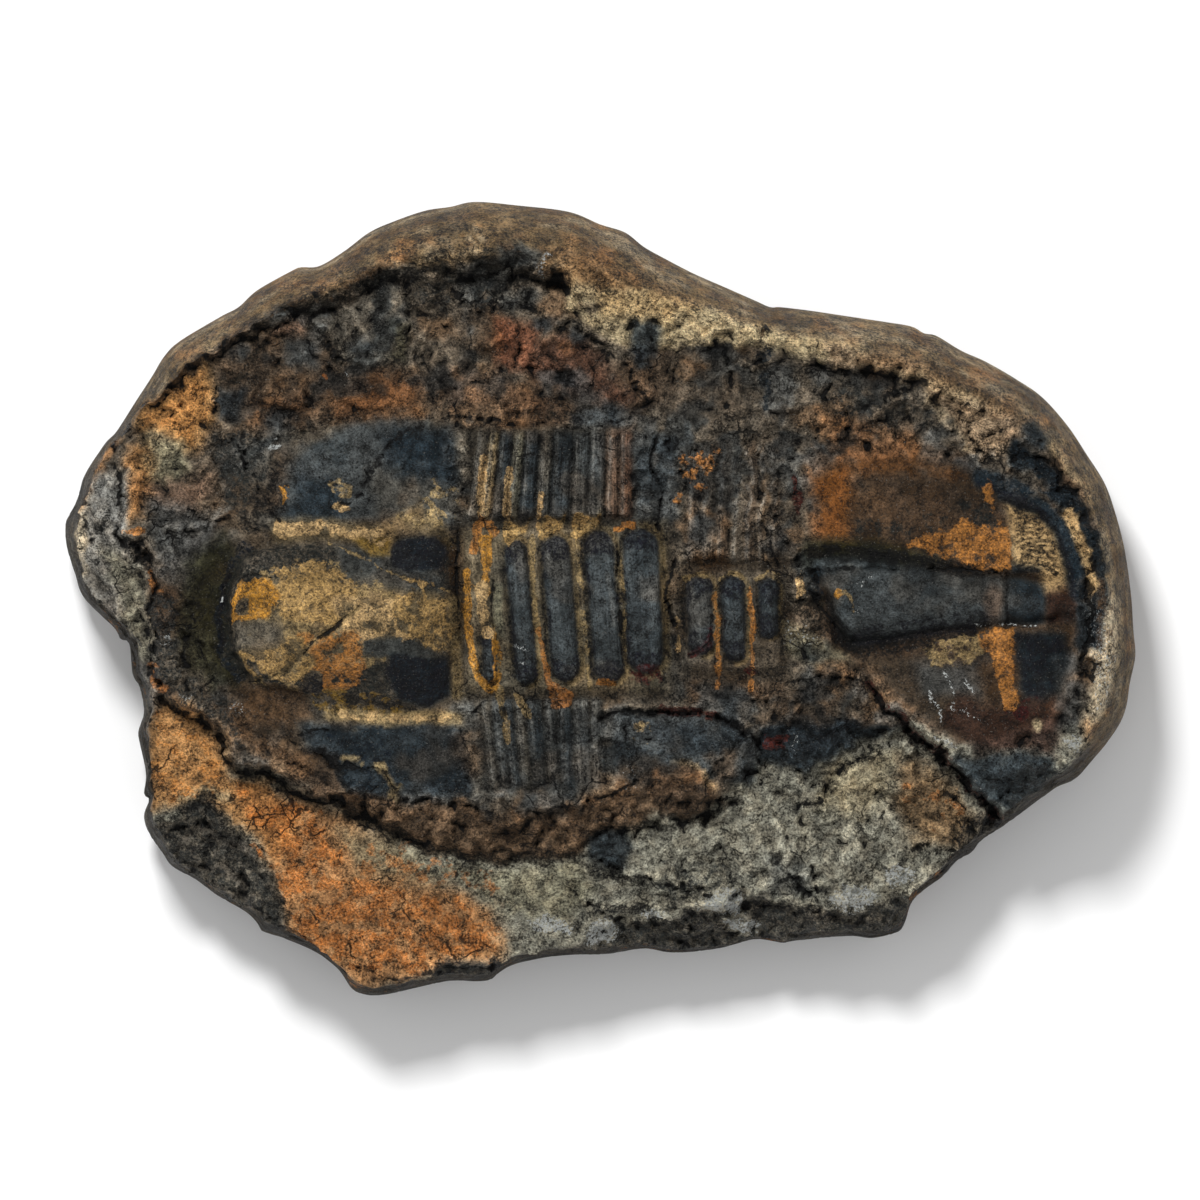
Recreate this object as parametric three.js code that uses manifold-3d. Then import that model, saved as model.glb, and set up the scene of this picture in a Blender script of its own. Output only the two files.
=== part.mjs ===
// Hoekaspis trilobite fossil: one split slab of rock with the trilobite standing up from its top face.
// Millimetres, +Z up, +X along the trilobite from head to tail. The flat underside is z = 0.
import * as THREE from "three";
import { mergeVertices } from "three/addons/utils/BufferGeometryUtils.js";
import Module from "manifold-3d";

const { clamp, lerp, smoothstep } = THREE.MathUtils;
const wasm = await Module();
wasm.setup();

// Driving dimensions, mm
const rimHeight = 34; // highest part of the weathered rind, behind the trilobite
const rimFall = 0.0004; // how fast the rim drops along X, per mm squared
const rimCentreX = -15;
const bedHeight = 27.5; // the split face that the trilobite lies in
const ledgeHeight = 21.5; // lower ledges along the front edge
const ledgeTilt = 0.05; // fall of the ledges towards the front, mm per mm
const tailBlockHeight = 28.6; // the block with the tail, beside the diagonal break
const leftBlockHeight = 25.4;
const rindEquator = 13; // height at which the rind bulges furthest
const rindInset = 11; // how far the rind curls in by the top of its curve
const rindTopReach = 22; // height of that curve above the equator
const rindUnderInset = 15;
const rindUnderReach = 13.6;
const breakEquator = 8; // the same for the broken sides, which are steeper
const breakInsetAbove = 0.15;
const breakInsetBelow = 0.55;
const middleReach = 40; // half length of the middle line that the sides lean towards
const calmInset = 7; // notches in the outer edge have faded this far in
const rindRoughness = 0.25;
const breakRoughness = 1.1;
const roughFrom = 1.5; // the sides are at their roughest this far in from the outer edge

// Mesh fineness
const sideLevels = [0, 3, 8, 13, 18, 22.5, 26.5, 29.5, 32, 33.8, 36.5];
const blockHalfLength = 92;
const blockHalfWidth = 70;
const blockFloor = -5;
const openSpacing = 2.6;

// Outer edge seen from above, clockwise from the highest point
const edgeOutline = [
  [-20, 63.9], [-13, 63.3], [-5, 62.3], [0, 60.3], [4, 59], [7, 56.7], [10, 55], [15, 52.4],
  [20, 50.2], [25, 48], [27.3, 47], [29, 47], [34, 46.4], [40, 45.5], [46, 44.6], [50, 43.9],
  [52, 42.8], [54, 42.4], [58, 40], [62, 38.2], [67, 35.3], [71, 32.5], [75, 28], [78, 23.5],
  [81, 18.7], [82.8, 13.6], [84.2, 8], [85.2, 1], [85.6, -5], [85.9, -9], [85, -13.5],
  [84.5, -17], [83.5, -20], [81, -24], [77, -28.6], [73.5, -30.2], [69.5, -33], [65.5, -36],
  [61.5, -38.6], [59.8, -40.6], [57.5, -42], [55, -44.6], [51.5, -47.2], [50, -49],
  [49.2, -51.5], [48, -53.4], [44, -54.4], [39.5, -54.1], [31, -54.9], [29.5, -55.2],
  [25, -54.6], [20, -55.9], [15, -56.6], [11, -56.7], [7, -56.1], [1, -57], [-6, -57.2],
  [-13, -58.4], [-16, -59.8], [-18.2, -61.3], [-24, -61.3], [-28, -62.1], [-35, -63.6],
  [-38, -63.5], [-40, -62.5], [-42, -59.6], [-45.5, -56.8], [-50.5, -54.6], [-54.3, -53.3],
  [-55, -52.2], [-57, -50.2], [-61.8, -47.4], [-65, -45], [-68.7, -43], [-70.5, -40.6],
  [-72.6, -37.5], [-73.4, -34.7], [-72.6, -32.2], [-73.4, -31.2], [-73.1, -28], [-74.1, -23],
  [-74.3, -21], [-73.4, -18], [-74.1, -14], [-75.2, -12], [-75.8, -7], [-77.2, -6.3],
  [-78.2, -4.5], [-83, 0.3], [-84.6, 4.5], [-85.9, 9], [-86, 12.5], [-84.3, 16], [-83, 20.5],
  [-80, 25.2], [-78, 27.2], [-75, 31.5], [-72, 35.8], [-70, 39], [-67.5, 41.5], [-61, 45.4],
  [-58, 47], [-55, 49.7], [-49.5, 52.8], [-48, 53.4], [-45, 53.6], [-41, 56], [-37, 59],
  [-33, 60.8], [-28, 62.5], [-24, 63.1],
];

// Steps of the top face. A foot line and a top line bound each slope; both run on outside the slab.
const bedFoot = [
  [-95, -16], [-71.5, -16], [-68, -17.6], [-64, -19.3], [-61, -21.5], [-59.5, -25],
  [-57.5, -27.2], [-53, -28.3], [-50.5, -29.8], [-48.5, -31.8], [-42.5, -31.9], [-39, -34.5],
  [-35, -36.8], [-31, -38.6], [-27, -40.2], [-20, -40.3], [-16, -41], [-4, -40.7], [0, -38.2],
  [4, -37.2], [7, -35.5], [10, -35], [14, -35.5], [17, -34.2], [19.5, -32.6], [22, -32.6],
  [23, -27.6], [26, -26.6], [34.5, -27.2], [37.5, -25.8], [42.5, -22.3], [49, -20.8],
  [95, -20], [95, 80], [-95, 80],
];
const bedTop = [
  [-95, -14.8], [-71.5, -14.8], [-68, -16.3], [-64, -18], [-60.5, -20.2], [-58.3, -24],
  [-56.5, -25.9], [-52.5, -27], [-49.5, -28.3], [-47.5, -30.2], [-41, -30.6], [-34, -31.4],
  [-28, -32], [-18.5, -32.4], [-15, -34], [-11, -32], [-5, -32.6], [0, -31], [6, -28.4],
  [13, -28], [18.6, -30.2], [21.5, -27], [22, -24.5], [24, -22], [27, -20.6], [33, -21],
  [42, -18.8], [49, -18.6], [95, -18], [95, 80], [-95, 80],
];
const rimFoot = [
  [-100, 29], [-71.5, 32], [-65, 36.3], [-60.5, 39.5], [-56.5, 42], [-49.5, 44.6],
  [-46.5, 45.4], [-41, 46.8], [-36, 49], [-31, 50.4], [-26, 50.2], [-20, 51.5], [-15, 51.6],
  [-12, 50.4], [-5.5, 49.8], [-5.4, 46.4], [-3.5, 43.6], [0.5, 40.4], [5, 39.6], [15, 40],
  [20, 39.6], [31, 37.6], [36, 37.4], [46, 35.3], [51, 33.4], [55, 31], [58, 27.5], [61, 23],
  [63.5, 20.5], [66, 21.5], [70, 22.6], [73, 20.5], [75.5, 16], [77.3, 11], [78.6, 5],
  [79.2, -1], [78.6, -6], [76.5, -10], [76, -15], [76.5, -20], [77.5, -25.5], [100, -25.5],
  [100, 100], [-100, 100],
];
const rimTop = [
  [-100, 30.5], [-72, 34], [-66, 38], [-61, 41.5], [-57, 44], [-51, 47], [-45.5, 49.5],
  [-40, 52], [-35, 53.4], [-30, 55], [-24, 55.5], [-17, 56.3], [-12, 56.3], [-9, 55.3],
  [-4.8, 51.3], [-4.2, 49.6], [0, 48.8], [6, 48.6], [13, 47.8], [20, 46.8], [26, 44.8],
  [31, 42.6], [36, 40.8], [42, 39.2], [48, 37.6], [53, 35.2], [58, 32.6], [66, 30.4],
  [70, 27], [73.5, 23.5], [76, 19.5], [78, 15], [79.6, 10], [80.6, 4], [81, -2], [80.4, -8],
  [79, -14], [78, -20], [78.5, -25], [100, -25], [100, 100], [-100, 100],
];
const tailBlock = [
  [42, -11], [43.5, -14], [46, -16.5], [49, -19.5], [52, -22.5], [57.5, -27.3],
  [60.5, -30.7], [64, -34.5], [72, -44], [100, -44], [100, 0], [42, 0],
];
const cornerBreak = [
  [57.5, -26], [62, -26.6], [66, -27], [71, -26.4], [76, -25.6], [80, -25], [100, -25],
  [100, -60], [64, -60], [60.5, -31.5],
];
const leftBlock = [
  [-100, 27], [-77, 27], [-75.2, 20], [-75, 10], [-73.6, 5], [-72, 0.5], [-71.7, -8],
  [-70.6, -13], [-71.5, -16.5], [-72.3, -24], [-72, -32], [-100, -34],
];
const leftLayers = [
  [
    [-100, 17], [-85, 15.4], [-83, 12.8], [-81.3, 11], [-80.4, 6], [-77.5, 0.5], [-76, -6],
    [-76, -30], [-100, -30],
  ],
  [[-100, 22], [-80.5, 14.5], [-78.4, 11], [-76, 7], [-74.2, 2], [-73.4, -8], [-73.4, -30], [-100, -30]],
];
const stainHollow = [
  [-74.6, 31], [-70, 34.5], [-66, 36.8], [-60.8, 37.8], [-61.5, 33], [-62, 30], [-61, 27],
  [-62.5, 24], [-64.5, 20], [-68, 15], [-74, 12.5], [-74.5, 20],
];
const chipScar = [
  [-100, -33], [-73, -35.6], [-66.5, -34.8], [-66.8, -32.2], [-64, -31.4], [-61.5, -32.6],
  [-59, -36], [-56.5, -39.3], [-54, -41.5], [-51.8, -43.5], [-50.6, -47.5], [-49.6, -52],
  [-49.2, -60], [-100, -60],
];
const frontBreak = [
  [-30, -61.6], [-27, -60], [-24.5, -57.8], [-20, -57.2], [-13.5, -57.6], [-6, -56.2],
  [-3, -54.6], [0, -52.5], [5, -51.8], [8, -50.9], [13, -51], [15, -48.6], [20, -48.6],
  [25, -46.6], [30, -49], [38, -49.6], [45, -49.2], [50, -46.6], [54, -43], [57, -38.6],
  [58.6, -34.5], [62.5, -33.4], [80, -50], [50, -80], [-30, -80],
];

// Trilobite, seen from above
const glabella = [
  [-59.8, -2.5], [-59, 2.5], [-57, 6], [-53, 8.4], [-47, 9.4], [-34, 8.8], [-26, 10], [-24, 8],
  [-23.4, -3], [-24, -15], [-27, -17], [-34, -17.2], [-46, -15.4], [-53, -13.6],
  [-57, -11], [-59.2, -7.5],
];
const headShield = [
  [-66, -2], [-64.5, 10], [-59, 20], [-51, 26.5], [-40, 29.5], [-24, 29.5], [-22.5, 0],
  [-22, -31], [-34, -31], [-46, -28], [-56, -21], [-63, -12],
];
const tailShield = [
  [33, 20], [38, 23.4], [50, 24], [58, 22.4], [62, 19.4], [68, 18], [72, 15.2], [75, 10.5],
  [76.8, 5], [77.6, -1], [76.6, -8], [75.4, -15], [72, -20.5], [64, -23.6], [57, -23.6],
  [50, -18.6], [43, -12], [36, -10],
];
const headRise = 1.1;
const headFade = 8; // the head's forms die out this far outside its outline
const glabellaRise = 5.4;
const glabellaShoulder = 11.5; // the dome levels out this far in from its edge
const glabellaFurrow = { depth: 1.6, sideReach: 2.2, frontReach: 6.5, frontFrom: 50, frontTo: 60 };
const cheekLobes = [
  { x: -45.3, y: 16.2, halfX: 4.2, halfY: 3.2, rise: 0.7 },
  { x: -37, y: -28.6, halfX: 6, halfY: 3, rise: 1.2 },
];
// Thorax: the vault of the axis in front of and behind the break, with its edges across Y
const axisVaults = [
  { left: -22.4, right: 11, top: 12.6, bottom: -15.2 },
  { left: 12.6, right: 29.4, top: 5.6, bottom: -12 },
];
const axisRise = 2.6;
const axisEnds = 2.4; // length of the slopes at a vault's front and back
const axisFurrow = { depth: 0.5, half: 1.6 };
// Axial rings, round at both ends: centre x at y = 0, lean along y, half width, upper and lower end
const rings = [
  { x: -18, lean: -0.04, half: 1.15, top: -4.2, bottom: -13.2 },
  { x: -12.7, lean: -0.085, half: 1.75, top: 9.5, bottom: -13.4 },
  { x: -6.4, lean: -0.085, half: 2.25, top: 10.2, bottom: -13 },
  { x: 0.5, lean: -0.085, half: 2.35, top: 10.9, bottom: -13.2 },
  { x: 6.8, lean: -0.04, half: 2.85, top: 11.2, bottom: -11.6 },
  { x: 15.9, lean: -0.02, half: 2.2, top: 3.9, bottom: -8.6 },
  { x: 21.4, lean: -0.01, half: 1.8, top: 3.9, bottom: -9.6 },
  { x: 26.9, lean: 0, half: 1.6, top: 3.3, bottom: -5.8 },
];
const ringRise = 1.1;
const ringGroove = { depth: 0.5, half: 0.5 };
// Pleurae: ribbed fields beside the axis, with the edges of their ribs where they meet it
const pleurae = [
  {
    near: 12.6, far: 27.8, spread: 0.13, rise: 0.5,
    edges: [-21.6, -19.5, -17.6, -15.2, -13.2, -10.6, -8.4, -5, -2.2, 0.6, 2.8, 5.2],
  },
  {
    near: -15.4, far: -31, spread: 0.13, rise: 0.42,
    edges: [-19.5, -17.6, -15.8, -14.1, -12, -9.3, -7, -4.6, -1.8, 0.6],
  },
  { near: 5.8, far: 26, spread: 0, rise: 0.2, edges: [13.6, 15.9, 18.3, 20.7, 22.7, 24.8, 26.8, 28.8] },
];
const spreadEnd = 5; // the ribs lean over only in front of this X, more and more over spreadRun
const spreadRun = 25;
const pleuraRise = 0.8;
const ribGroove = { depth: 0.84, half: 0.5 }; // depth as a share of the rib's height
// Tail: half width and middle of its axis at the wide end and at the tip
const tailAxis = { left: 33.5, right: 76.5, wideHalf: 7.1, tipHalf: 2.5, wideMid: -0.4, tipMid: 0.3, rise: 4.2 };
// its front end is broken off along a slanting line
const tailStart = { x: 35.4, lean: -0.46, run: 3 };
const tailFurrow = { depth: 2.1, reach: 2.6 };
const tailRise = 1.3;
const tailBorder = { rise: 0.9, inFromEdge: 1.2, half: 1.6 };

// Cracks and shadow lines cut into the face: path, half width, depth
const cracks = [
  { path: [[-14, 51.9], [-10, 50.9], [-5, 50.4]], half: 1.6, depth: 1.8 },
  { path: [[-6.5, 45.6], [-3.5, 43.2], [-0.5, 41.2], [2, 39]], half: 1.1, depth: 1.2 },
  { path: [[5.2, 41], [5.1, 36], [5.8, 33.6], [9.5, 31]], half: 1, depth: 1 },
  { path: [[25.5, 47.2], [27, 44.5], [26.8, 42.4]], half: 1.3, depth: 2.4 },
  { path: [[-75.6, 9], [-73.6, 8], [-73, 6]], half: 1.6, depth: 3 },
  { path: [[-73, 6], [-71.4, 4], [-70.4, 1], [-71.4, -2], [-71.3, -9], [-70.6, -14]], half: 1.1, depth: 1.6 },
  { path: [[-23.5, 29.8], [-12, 28.2], [-2, 27.7], [5, 28.8]], half: 1.2, depth: 1.2 },
  { path: [[0, -19], [3, -17.8], [10, -17.8], [18, -18.8], [22, -20.6], [25, -23.8]], half: 1.2, depth: 1.3 },
  { path: [[-4, -40.6], [0, -41.4], [5, -44.4], [14, -44.7]], half: 1.1, depth: 1.2 },
  { path: [[-46, -24.8], [-42, -25.6], [-38, -26.2], [-33.4, -27.4], [-31.6, -30]], half: 1.3, depth: 1.3 },
  { path: [[44, -23], [40.5, -26], [37.4, -30], [34.6, -32.4]], half: 0.9, depth: 0.8 },
  { path: [[46, -39], [50, -39], [53, -39.6], [56, -40]], half: 1, depth: 1 },
];

// Rough ground: outline, height of the lumps, size of the lumps
const roughGround = [
  {
    outline: [
      [-50, -30], [-34, -31], [-15, -33], [5, -28], [19, -27], [20, -34], [6, -38], [-16, -42],
      [-34, -39],
    ],
    lump: 1.5, size: 3.6,
  },
  { outline: [[34, 37], [50, 34], [58, 26], [62, 21], [52, 24.5], [38, 25], [30, 30]], lump: 1.3, size: 4 },
  { outline: [[29, 6], [36, 7], [38, 0], [40, -8], [38, -12], [30, -9], [29, 0]], lump: 1, size: 3 },
  {
    outline: [
      [-8, -52], [4, -46], [24, -44], [46, -44], [58, -34], [66, -34], [50, -58], [-8, -60],
    ],
    lump: 1.2, size: 4,
  },
  {
    outline: [[-30, 54], [-16, 55], [-6, 46], [4, 38], [4, 30], [-24, 31], [-31, 40]],
    lump: 0.9, size: 4.2,
  },
  {
    outline: [
      [-60, 34], [-53, 42], [-46, 44], [-40, 34], [-52, 28], [-60, 14], [-66, 0], [-70, 0], [-66, 16],
    ],
    lump: 0.8, size: 4,
  },
];
const openRoughness = 0.35;
const openLumpSize = 7;

// Repeatable noise between -1 and 1 on a square lattice
function latticeValue(i, j) {
  const spread = Math.sin(i * 127.1 + j * 311.7) * 43758.5453;
  return (spread - Math.floor(spread)) * 2 - 1;
}

function noise(x, y, size) {
  const u = x / size;
  const v = y / size;
  const i = Math.floor(u);
  const j = Math.floor(v);
  const across = smoothstep(u - i, 0, 1);
  const along = smoothstep(v - j, 0, 1);
  const low = lerp(latticeValue(i, j), latticeValue(i + 1, j), across);
  const high = lerp(latticeValue(i, j + 1), latticeValue(i + 1, j + 1), across);
  return lerp(low, high, along);
}

// Distance from a point to a chain of straight pieces
function pathDistance(path, x, y) {
  let nearest = Infinity;
  for (let i = 1; i < path.length; i++) {
    const [ax, ay] = path[i - 1];
    const [bx, by] = path[i];
    const lengthSquared = (bx - ax) ** 2 + (by - ay) ** 2;
    const along = clamp(((x - ax) * (bx - ax) + (y - ay) * (by - ay)) / lengthSquared, 0, 1);
    nearest = Math.min(nearest, Math.hypot(x - lerp(ax, bx, along), y - lerp(ay, by, along)));
  }
  return nearest;
}

// Distance from a closed outline, positive inside it
function depthInside(outline, x, y) {
  let inside = false;
  for (let i = 0, j = outline.length - 1; i < outline.length; j = i++) {
    const [ax, ay] = outline[j];
    const [bx, by] = outline[i];
    if (ay > y !== by > y && x < ax + ((y - ay) * (bx - ax)) / (by - ay)) inside = !inside;
  }
  const distance = pathDistance([...outline, outline[0]], x, y);
  return inside ? distance : -distance;
}

// 0 at the foot line of a slope, 1 at its top line
function slopeShare(foot, top, x, y) {
  const aboveFoot = depthInside(foot, x, y);
  const belowTop = -depthInside(top, x, y);
  if (aboveFoot <= 0) return 0;
  if (belowTop <= 0) return 1;
  return aboveFoot / (aboveFoot + belowTop);
}

function rockHeight(x, y) {
  const ledge = ledgeHeight + ledgeTilt * (y + 40);
  let z = ledge;
  const intoScar = depthInside(chipScar, x, y);
  if (intoScar > 0) z -= Math.min(1.6, intoScar) + 0.36 * intoScar;
  const intoFront = depthInside(frontBreak, x, y);
  if (intoFront > 0) z -= Math.min(1, intoFront) + 0.75 * intoFront;

  const bedShare = slopeShare(bedFoot, bedTop, x, y);
  const bed = bedHeight - 0.02 * Math.max(0, -20 - y);
  z = lerp(z, bed, bedShare);

  const ontoTail = depthInside(tailBlock, x, y);
  const tailTop = tailBlockHeight - 0.12 * Math.max(0, y + 16);
  if (ontoTail > 0) z = Math.max(z, lerp(z, tailTop, clamp(ontoTail / 0.9, 0, 1)));
  const intoCorner = depthInside(cornerBreak, x, y);
  if (intoCorner > 0) z -= 1.15 * intoCorner;

  const ontoLeft = depthInside(leftBlock, x, y);
  const leftTop = leftBlockHeight - 0.35 * Math.max(0, -77 - x) - 0.05 * Math.max(0, -y);
  z = lerp(z, leftTop, clamp(ontoLeft / 1.2, 0, 1));
  for (const layer of leftLayers) z -= clamp(depthInside(layer, x, y) / 1.2, 0, 1);
  z -= 1.3 * clamp(depthInside(stainHollow, x, y) / 1.6, 0, 1);

  const rim = rimHeight - rimFall * (x - rimCentreX) ** 2;
  return lerp(z, rim, slopeShare(rimFoot, rimTop, x, y));
}

// Distance from a ring's middle line, in half widths: 1 on the ring's edge
function ringReach({ x: centre, lean, half, top, bottom }, x, y) {
  const [high, low] = [top - half, bottom + half];
  return pathDistance([[centre + lean * high, high], [centre + lean * low, low]], x, y) / half;
}

function ringHeight(x, y) {
  let z = 0;
  for (const { left, right, top, bottom } of axisVaults) {
    const window = smoothstep(x, left, left + axisEnds) * (1 - smoothstep(x, right - axisEnds, right));
    const along = Math.abs((2 * y - top - bottom) / (top - bottom));
    const past = ((along - 1) * (top - bottom)) / 2;
    z += axisRise * window * clamp(1 - along ** 2, 0, 1);
    z -= axisFurrow.depth * window * clamp(1 - Math.abs(past) / axisFurrow.half, 0, 1);
  }
  for (const ring of rings) {
    const reach = ringReach(ring, x, y);
    const past = Math.abs(reach - 1.08) * ring.half;
    z += ringRise * Math.sqrt(clamp(1 - reach ** 2, 0, 1));
    z -= ringGroove.depth * clamp(1 - past / ringGroove.half, 0, 1);
  }
  return z;
}

// How far the ribs of a field have leaned over towards the tail at a distance from the axis
function ribLean(x, y, { near, spread }) {
  return spread * Math.abs(y - near) * clamp((spreadEnd - x) / spreadRun, 0, 1);
}

function pleuraHeight(x, y) {
  let z = 0;
  for (const field of pleurae) {
    const { near, far, edges, rise } = field;
    const out = (y - near) / (far - near);
    const place = x - ribLean(x, y, field);
    const last = edges.length - 1;
    if (out <= 0 || out >= 1 || place <= edges[0] || place >= edges[last]) continue;
    const rib = edges.findIndex((edge) => edge > place);
    const [low, high] = [edges[rib - 1], edges[rib]];
    const fromFirst = smoothstep(place, edges[0], edges[0] + 1);
    const window = fromFirst * (1 - smoothstep(place, edges[last] - 1, edges[last]));
    const ends = smoothstep(out, 0, 0.08) * (1 - smoothstep(out, 0.84, 1));
    const within = (place - low) / (high - low);
    const groove = ribGroove.depth * clamp(1 - Math.min(place - low, high - place) / ribGroove.half, 0, 1);
    const crown = 0.5 * Math.sin(Math.PI * within) + 0.5 * within;
    z += window * ends * (pleuraRise * (1 - out) + rise * (crown - groove));
  }
  return z;
}

// The furrows beside the tail axis narrow and fade towards its tip
function tailFurrowReach(along) {
  return tailFurrow.reach * (1 - 0.75 * clamp(along, 0, 1));
}

function tailHeight(x, y) {
  const ontoShield = depthInside(tailShield, x, y);
  const { left, right, wideHalf, tipHalf, wideMid, tipMid, rise } = tailAxis;
  const along = clamp((x - left) / (right - left), 0, 1);
  const half = lerp(wideHalf, tipHalf, along);
  const fromMiddle = Math.abs(y - lerp(wideMid, tipMid, along));
  const pastStart = x - tailStart.x - tailStart.lean * y;
  const tip = Math.sqrt(1 - clamp((along - 0.82) / 0.18, 0, 1) ** 2);
  const ends = smoothstep(pastStart, 0, tailStart.run) * tip;
  const crown = rise * (1 - 0.45 * along) * Math.sqrt(clamp(1 - (fromMiddle / half) ** 2, 0, 1));
  const alongFurrow = smoothstep(x, 29, 35) * (1 - smoothstep(x, 72, 76)) * (1 - 0.7 * along);
  const furrow = (1 - smoothstep(fromMiddle - half, 0, tailFurrowReach(along))) * alongFurrow;
  let field = 0;
  if (ontoShield > 0) {
    const fromBorder = Math.abs(ontoShield - tailBorder.inFromEdge);
    field = tailRise * smoothstep(ontoShield, 1.5, 9);
    field += tailBorder.rise * smoothstep(x, 60, 68) * (1 - smoothstep(fromBorder, 0, tailBorder.half));
  }
  return field + crown * ends - tailFurrow.depth * furrow;
}

function headHeight(x, y) {
  const ontoShield = depthInside(headShield, x, y);
  if (ontoShield <= -headFade) return 0;
  const ontoGlabella = depthInside(glabella, x, y);
  const { depth, sideReach, frontReach, frontFrom, frontTo } = glabellaFurrow;
  const front = smoothstep(-x, frontFrom, frontTo);
  const outside = -0.6 - ontoGlabella;
  const away = outside > 0 ? outside / lerp(sideReach, frontReach, front) : -outside / 2;
  const furrow = depth * (1 + 0.4 * front) * (1 - smoothstep(away, 0, 1));
  const inward = 1 - clamp(ontoGlabella, 0, glabellaShoulder) / glabellaShoulder;
  let z = headRise * smoothstep(ontoShield, 0, 8) - furrow + glabellaRise * Math.sqrt(1 - inward ** 2);
  for (const lobe of cheekLobes) {
    const reach = ((x - lobe.x) / lobe.halfX) ** 2 + ((y - lobe.y) / lobe.halfY) ** 2;
    z += lobe.rise * clamp(1 - reach, 0, 1);
  }
  return z * smoothstep(ontoShield, -headFade, -0.6 * headFade);
}

function surfaceHeight(x, y) {
  let z = rockHeight(x, y) + headHeight(x, y) + ringHeight(x, y) + pleuraHeight(x, y) + tailHeight(x, y);
  for (const { path, half, depth } of cracks) {
    z -= depth * clamp(1 - pathDistance(path, x, y) / half, 0, 1);
  }
  for (const { outline, lump, size } of roughGround) {
    z += lump * clamp(depthInside(outline, x, y) / 2, 0, 1) * noise(x, y, size);
  }
  return z + openRoughness * noise(x + 40, y, openLumpSize);
}

// Where the top face gets its corners: dense on the trilobite and along each step, open elsewhere
function facePoints() {
  const points = [];
  const place = (x, y, gap) => {
    if (depthInside(edgeOutline, x, y) < -3.5) return;
    if (points.every(([px, py]) => Math.hypot(px - x, py - y) > gap)) points.push([x, y]);
  };
  for (const ring of rings) {
    for (const distance of [0, 0.6 * ring.half, 0.97 * ring.half, ring.half + 0.5]) {
      followLine(ringLine(ring, distance), 2, (x, y) => place(x, y, 0.45));
    }
  }
  for (const { left, right, top, bottom } of axisVaults) {
    for (const inward of [-1.6, 0, 1.2]) {
      const [x0, x1, y0, y1] = [left + inward / 2, right - inward / 2, bottom + inward, top - inward];
      followLine([[x0, y0], [x1, y0], [x1, y1], [x0, y1], [x0, y0]], 2, (x, y) => place(x, y, 0.8));
    }
  }
  for (const field of pleurae) {
    const { near, far, edges } = field;
    for (const out of [0.04, 0.3, 0.56, 0.8, 0.97]) {
      const y = lerp(near, far, out);
      for (const [rib, edge] of edges.entries()) {
        const middle = rib > 0 ? (edge + edges[rib - 1]) / 2 : edge;
        for (const x of [middle, edge - ribGroove.half, edge, edge + ribGroove.half]) {
          place(x + ribLean(x, y, field), y, 0.42);
        }
      }
    }
  }
  const steps = [bedFoot, bedTop, rimFoot, rimTop, leftBlock, chipScar, frontBreak, cornerBreak];
  for (const line of [glabella, ...steps, ...leftLayers]) {
    followLine([...line, line[0]], 2.3, (x, y) => place(x, y, 1.1));
  }
  for (const shrink of [1.14, 0.96, 0.84, 0.6]) {
    const inner = glabella.map(([x, y]) => [lerp(-41, x, shrink), lerp(-4, y, shrink)]);
    followLine([...inner, inner[0]], 2.6, (x, y) => place(x, y, 1.3));
  }
  followLine(tailBlock.slice(0, 8), 1.8, (x, y) => place(x, y, 0.8));
  followLine(tailBlock.slice(0, 8), 1.8, (x, y) => place(x + 0.7, y + 0.7, 0.8));
  for (const { path } of cracks) followLine(path, 1.6, (x, y) => place(x, y, 0.8));
  const { left, right, wideHalf, tipHalf, wideMid, tipMid } = tailAxis;
  for (let x = left - 2; x < right; x += 2.6) {
    const along = clamp((x - left) / (right - left), 0, 1);
    const half = lerp(wideHalf, tipHalf, along);
    const reach = tailFurrowReach(along);
    for (const fromMiddle of [0, 0.45 * half, 0.85 * half, 1.02 * half, half + 0.5 * reach, half + reach]) {
      for (const side of [-1, 1]) place(x, lerp(wideMid, tipMid, along) + side * fromMiddle, 0.7);
    }
  }
  followLine([...tailShield, tailShield[0]], 2.6, (x, y) => place(x, y, 1.2));
  let row = 0;
  for (let y = -blockHalfWidth + 2; y < blockHalfWidth; y += openSpacing * 0.866) {
    row += 1;
    const first = -blockHalfLength + 2 + (row % 2) * openSpacing * 0.5;
    for (let x = first; x < blockHalfLength; x += openSpacing) {
      const shiftX = 0.4 * noise(x, y, 1.3);
      const shiftY = 0.4 * noise(y, x, 1.7);
      place(x + shiftX, y + shiftY, 0.66 * openSpacing);
    }
  }
  return points;
}

function followLine(path, step, visit) {
  for (let i = 1; i < path.length; i++) {
    const [ax, ay] = path[i - 1];
    const [bx, by] = path[i];
    const count = Math.max(1, Math.round(Math.hypot(bx - ax, by - ay) / step));
    for (let k = 0; k < count; k++) visit(lerp(ax, bx, k / count), lerp(ay, by, k / count));
  }
}

// Closed line round a ring, at a distance from its middle line
function ringLine({ x: centre, lean, half, top, bottom }, distance) {
  const line = [];
  for (const [y, start] of [[top - half, 0], [bottom + half, Math.PI]]) {
    for (let k = 0; k <= 4; k++) {
      const turn = start + (k * Math.PI) / 4;
      line.push([centre + lean * y + distance * Math.cos(turn), y + distance * Math.sin(turn)]);
    }
  }
  return [...line, line[0]];
}

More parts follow.
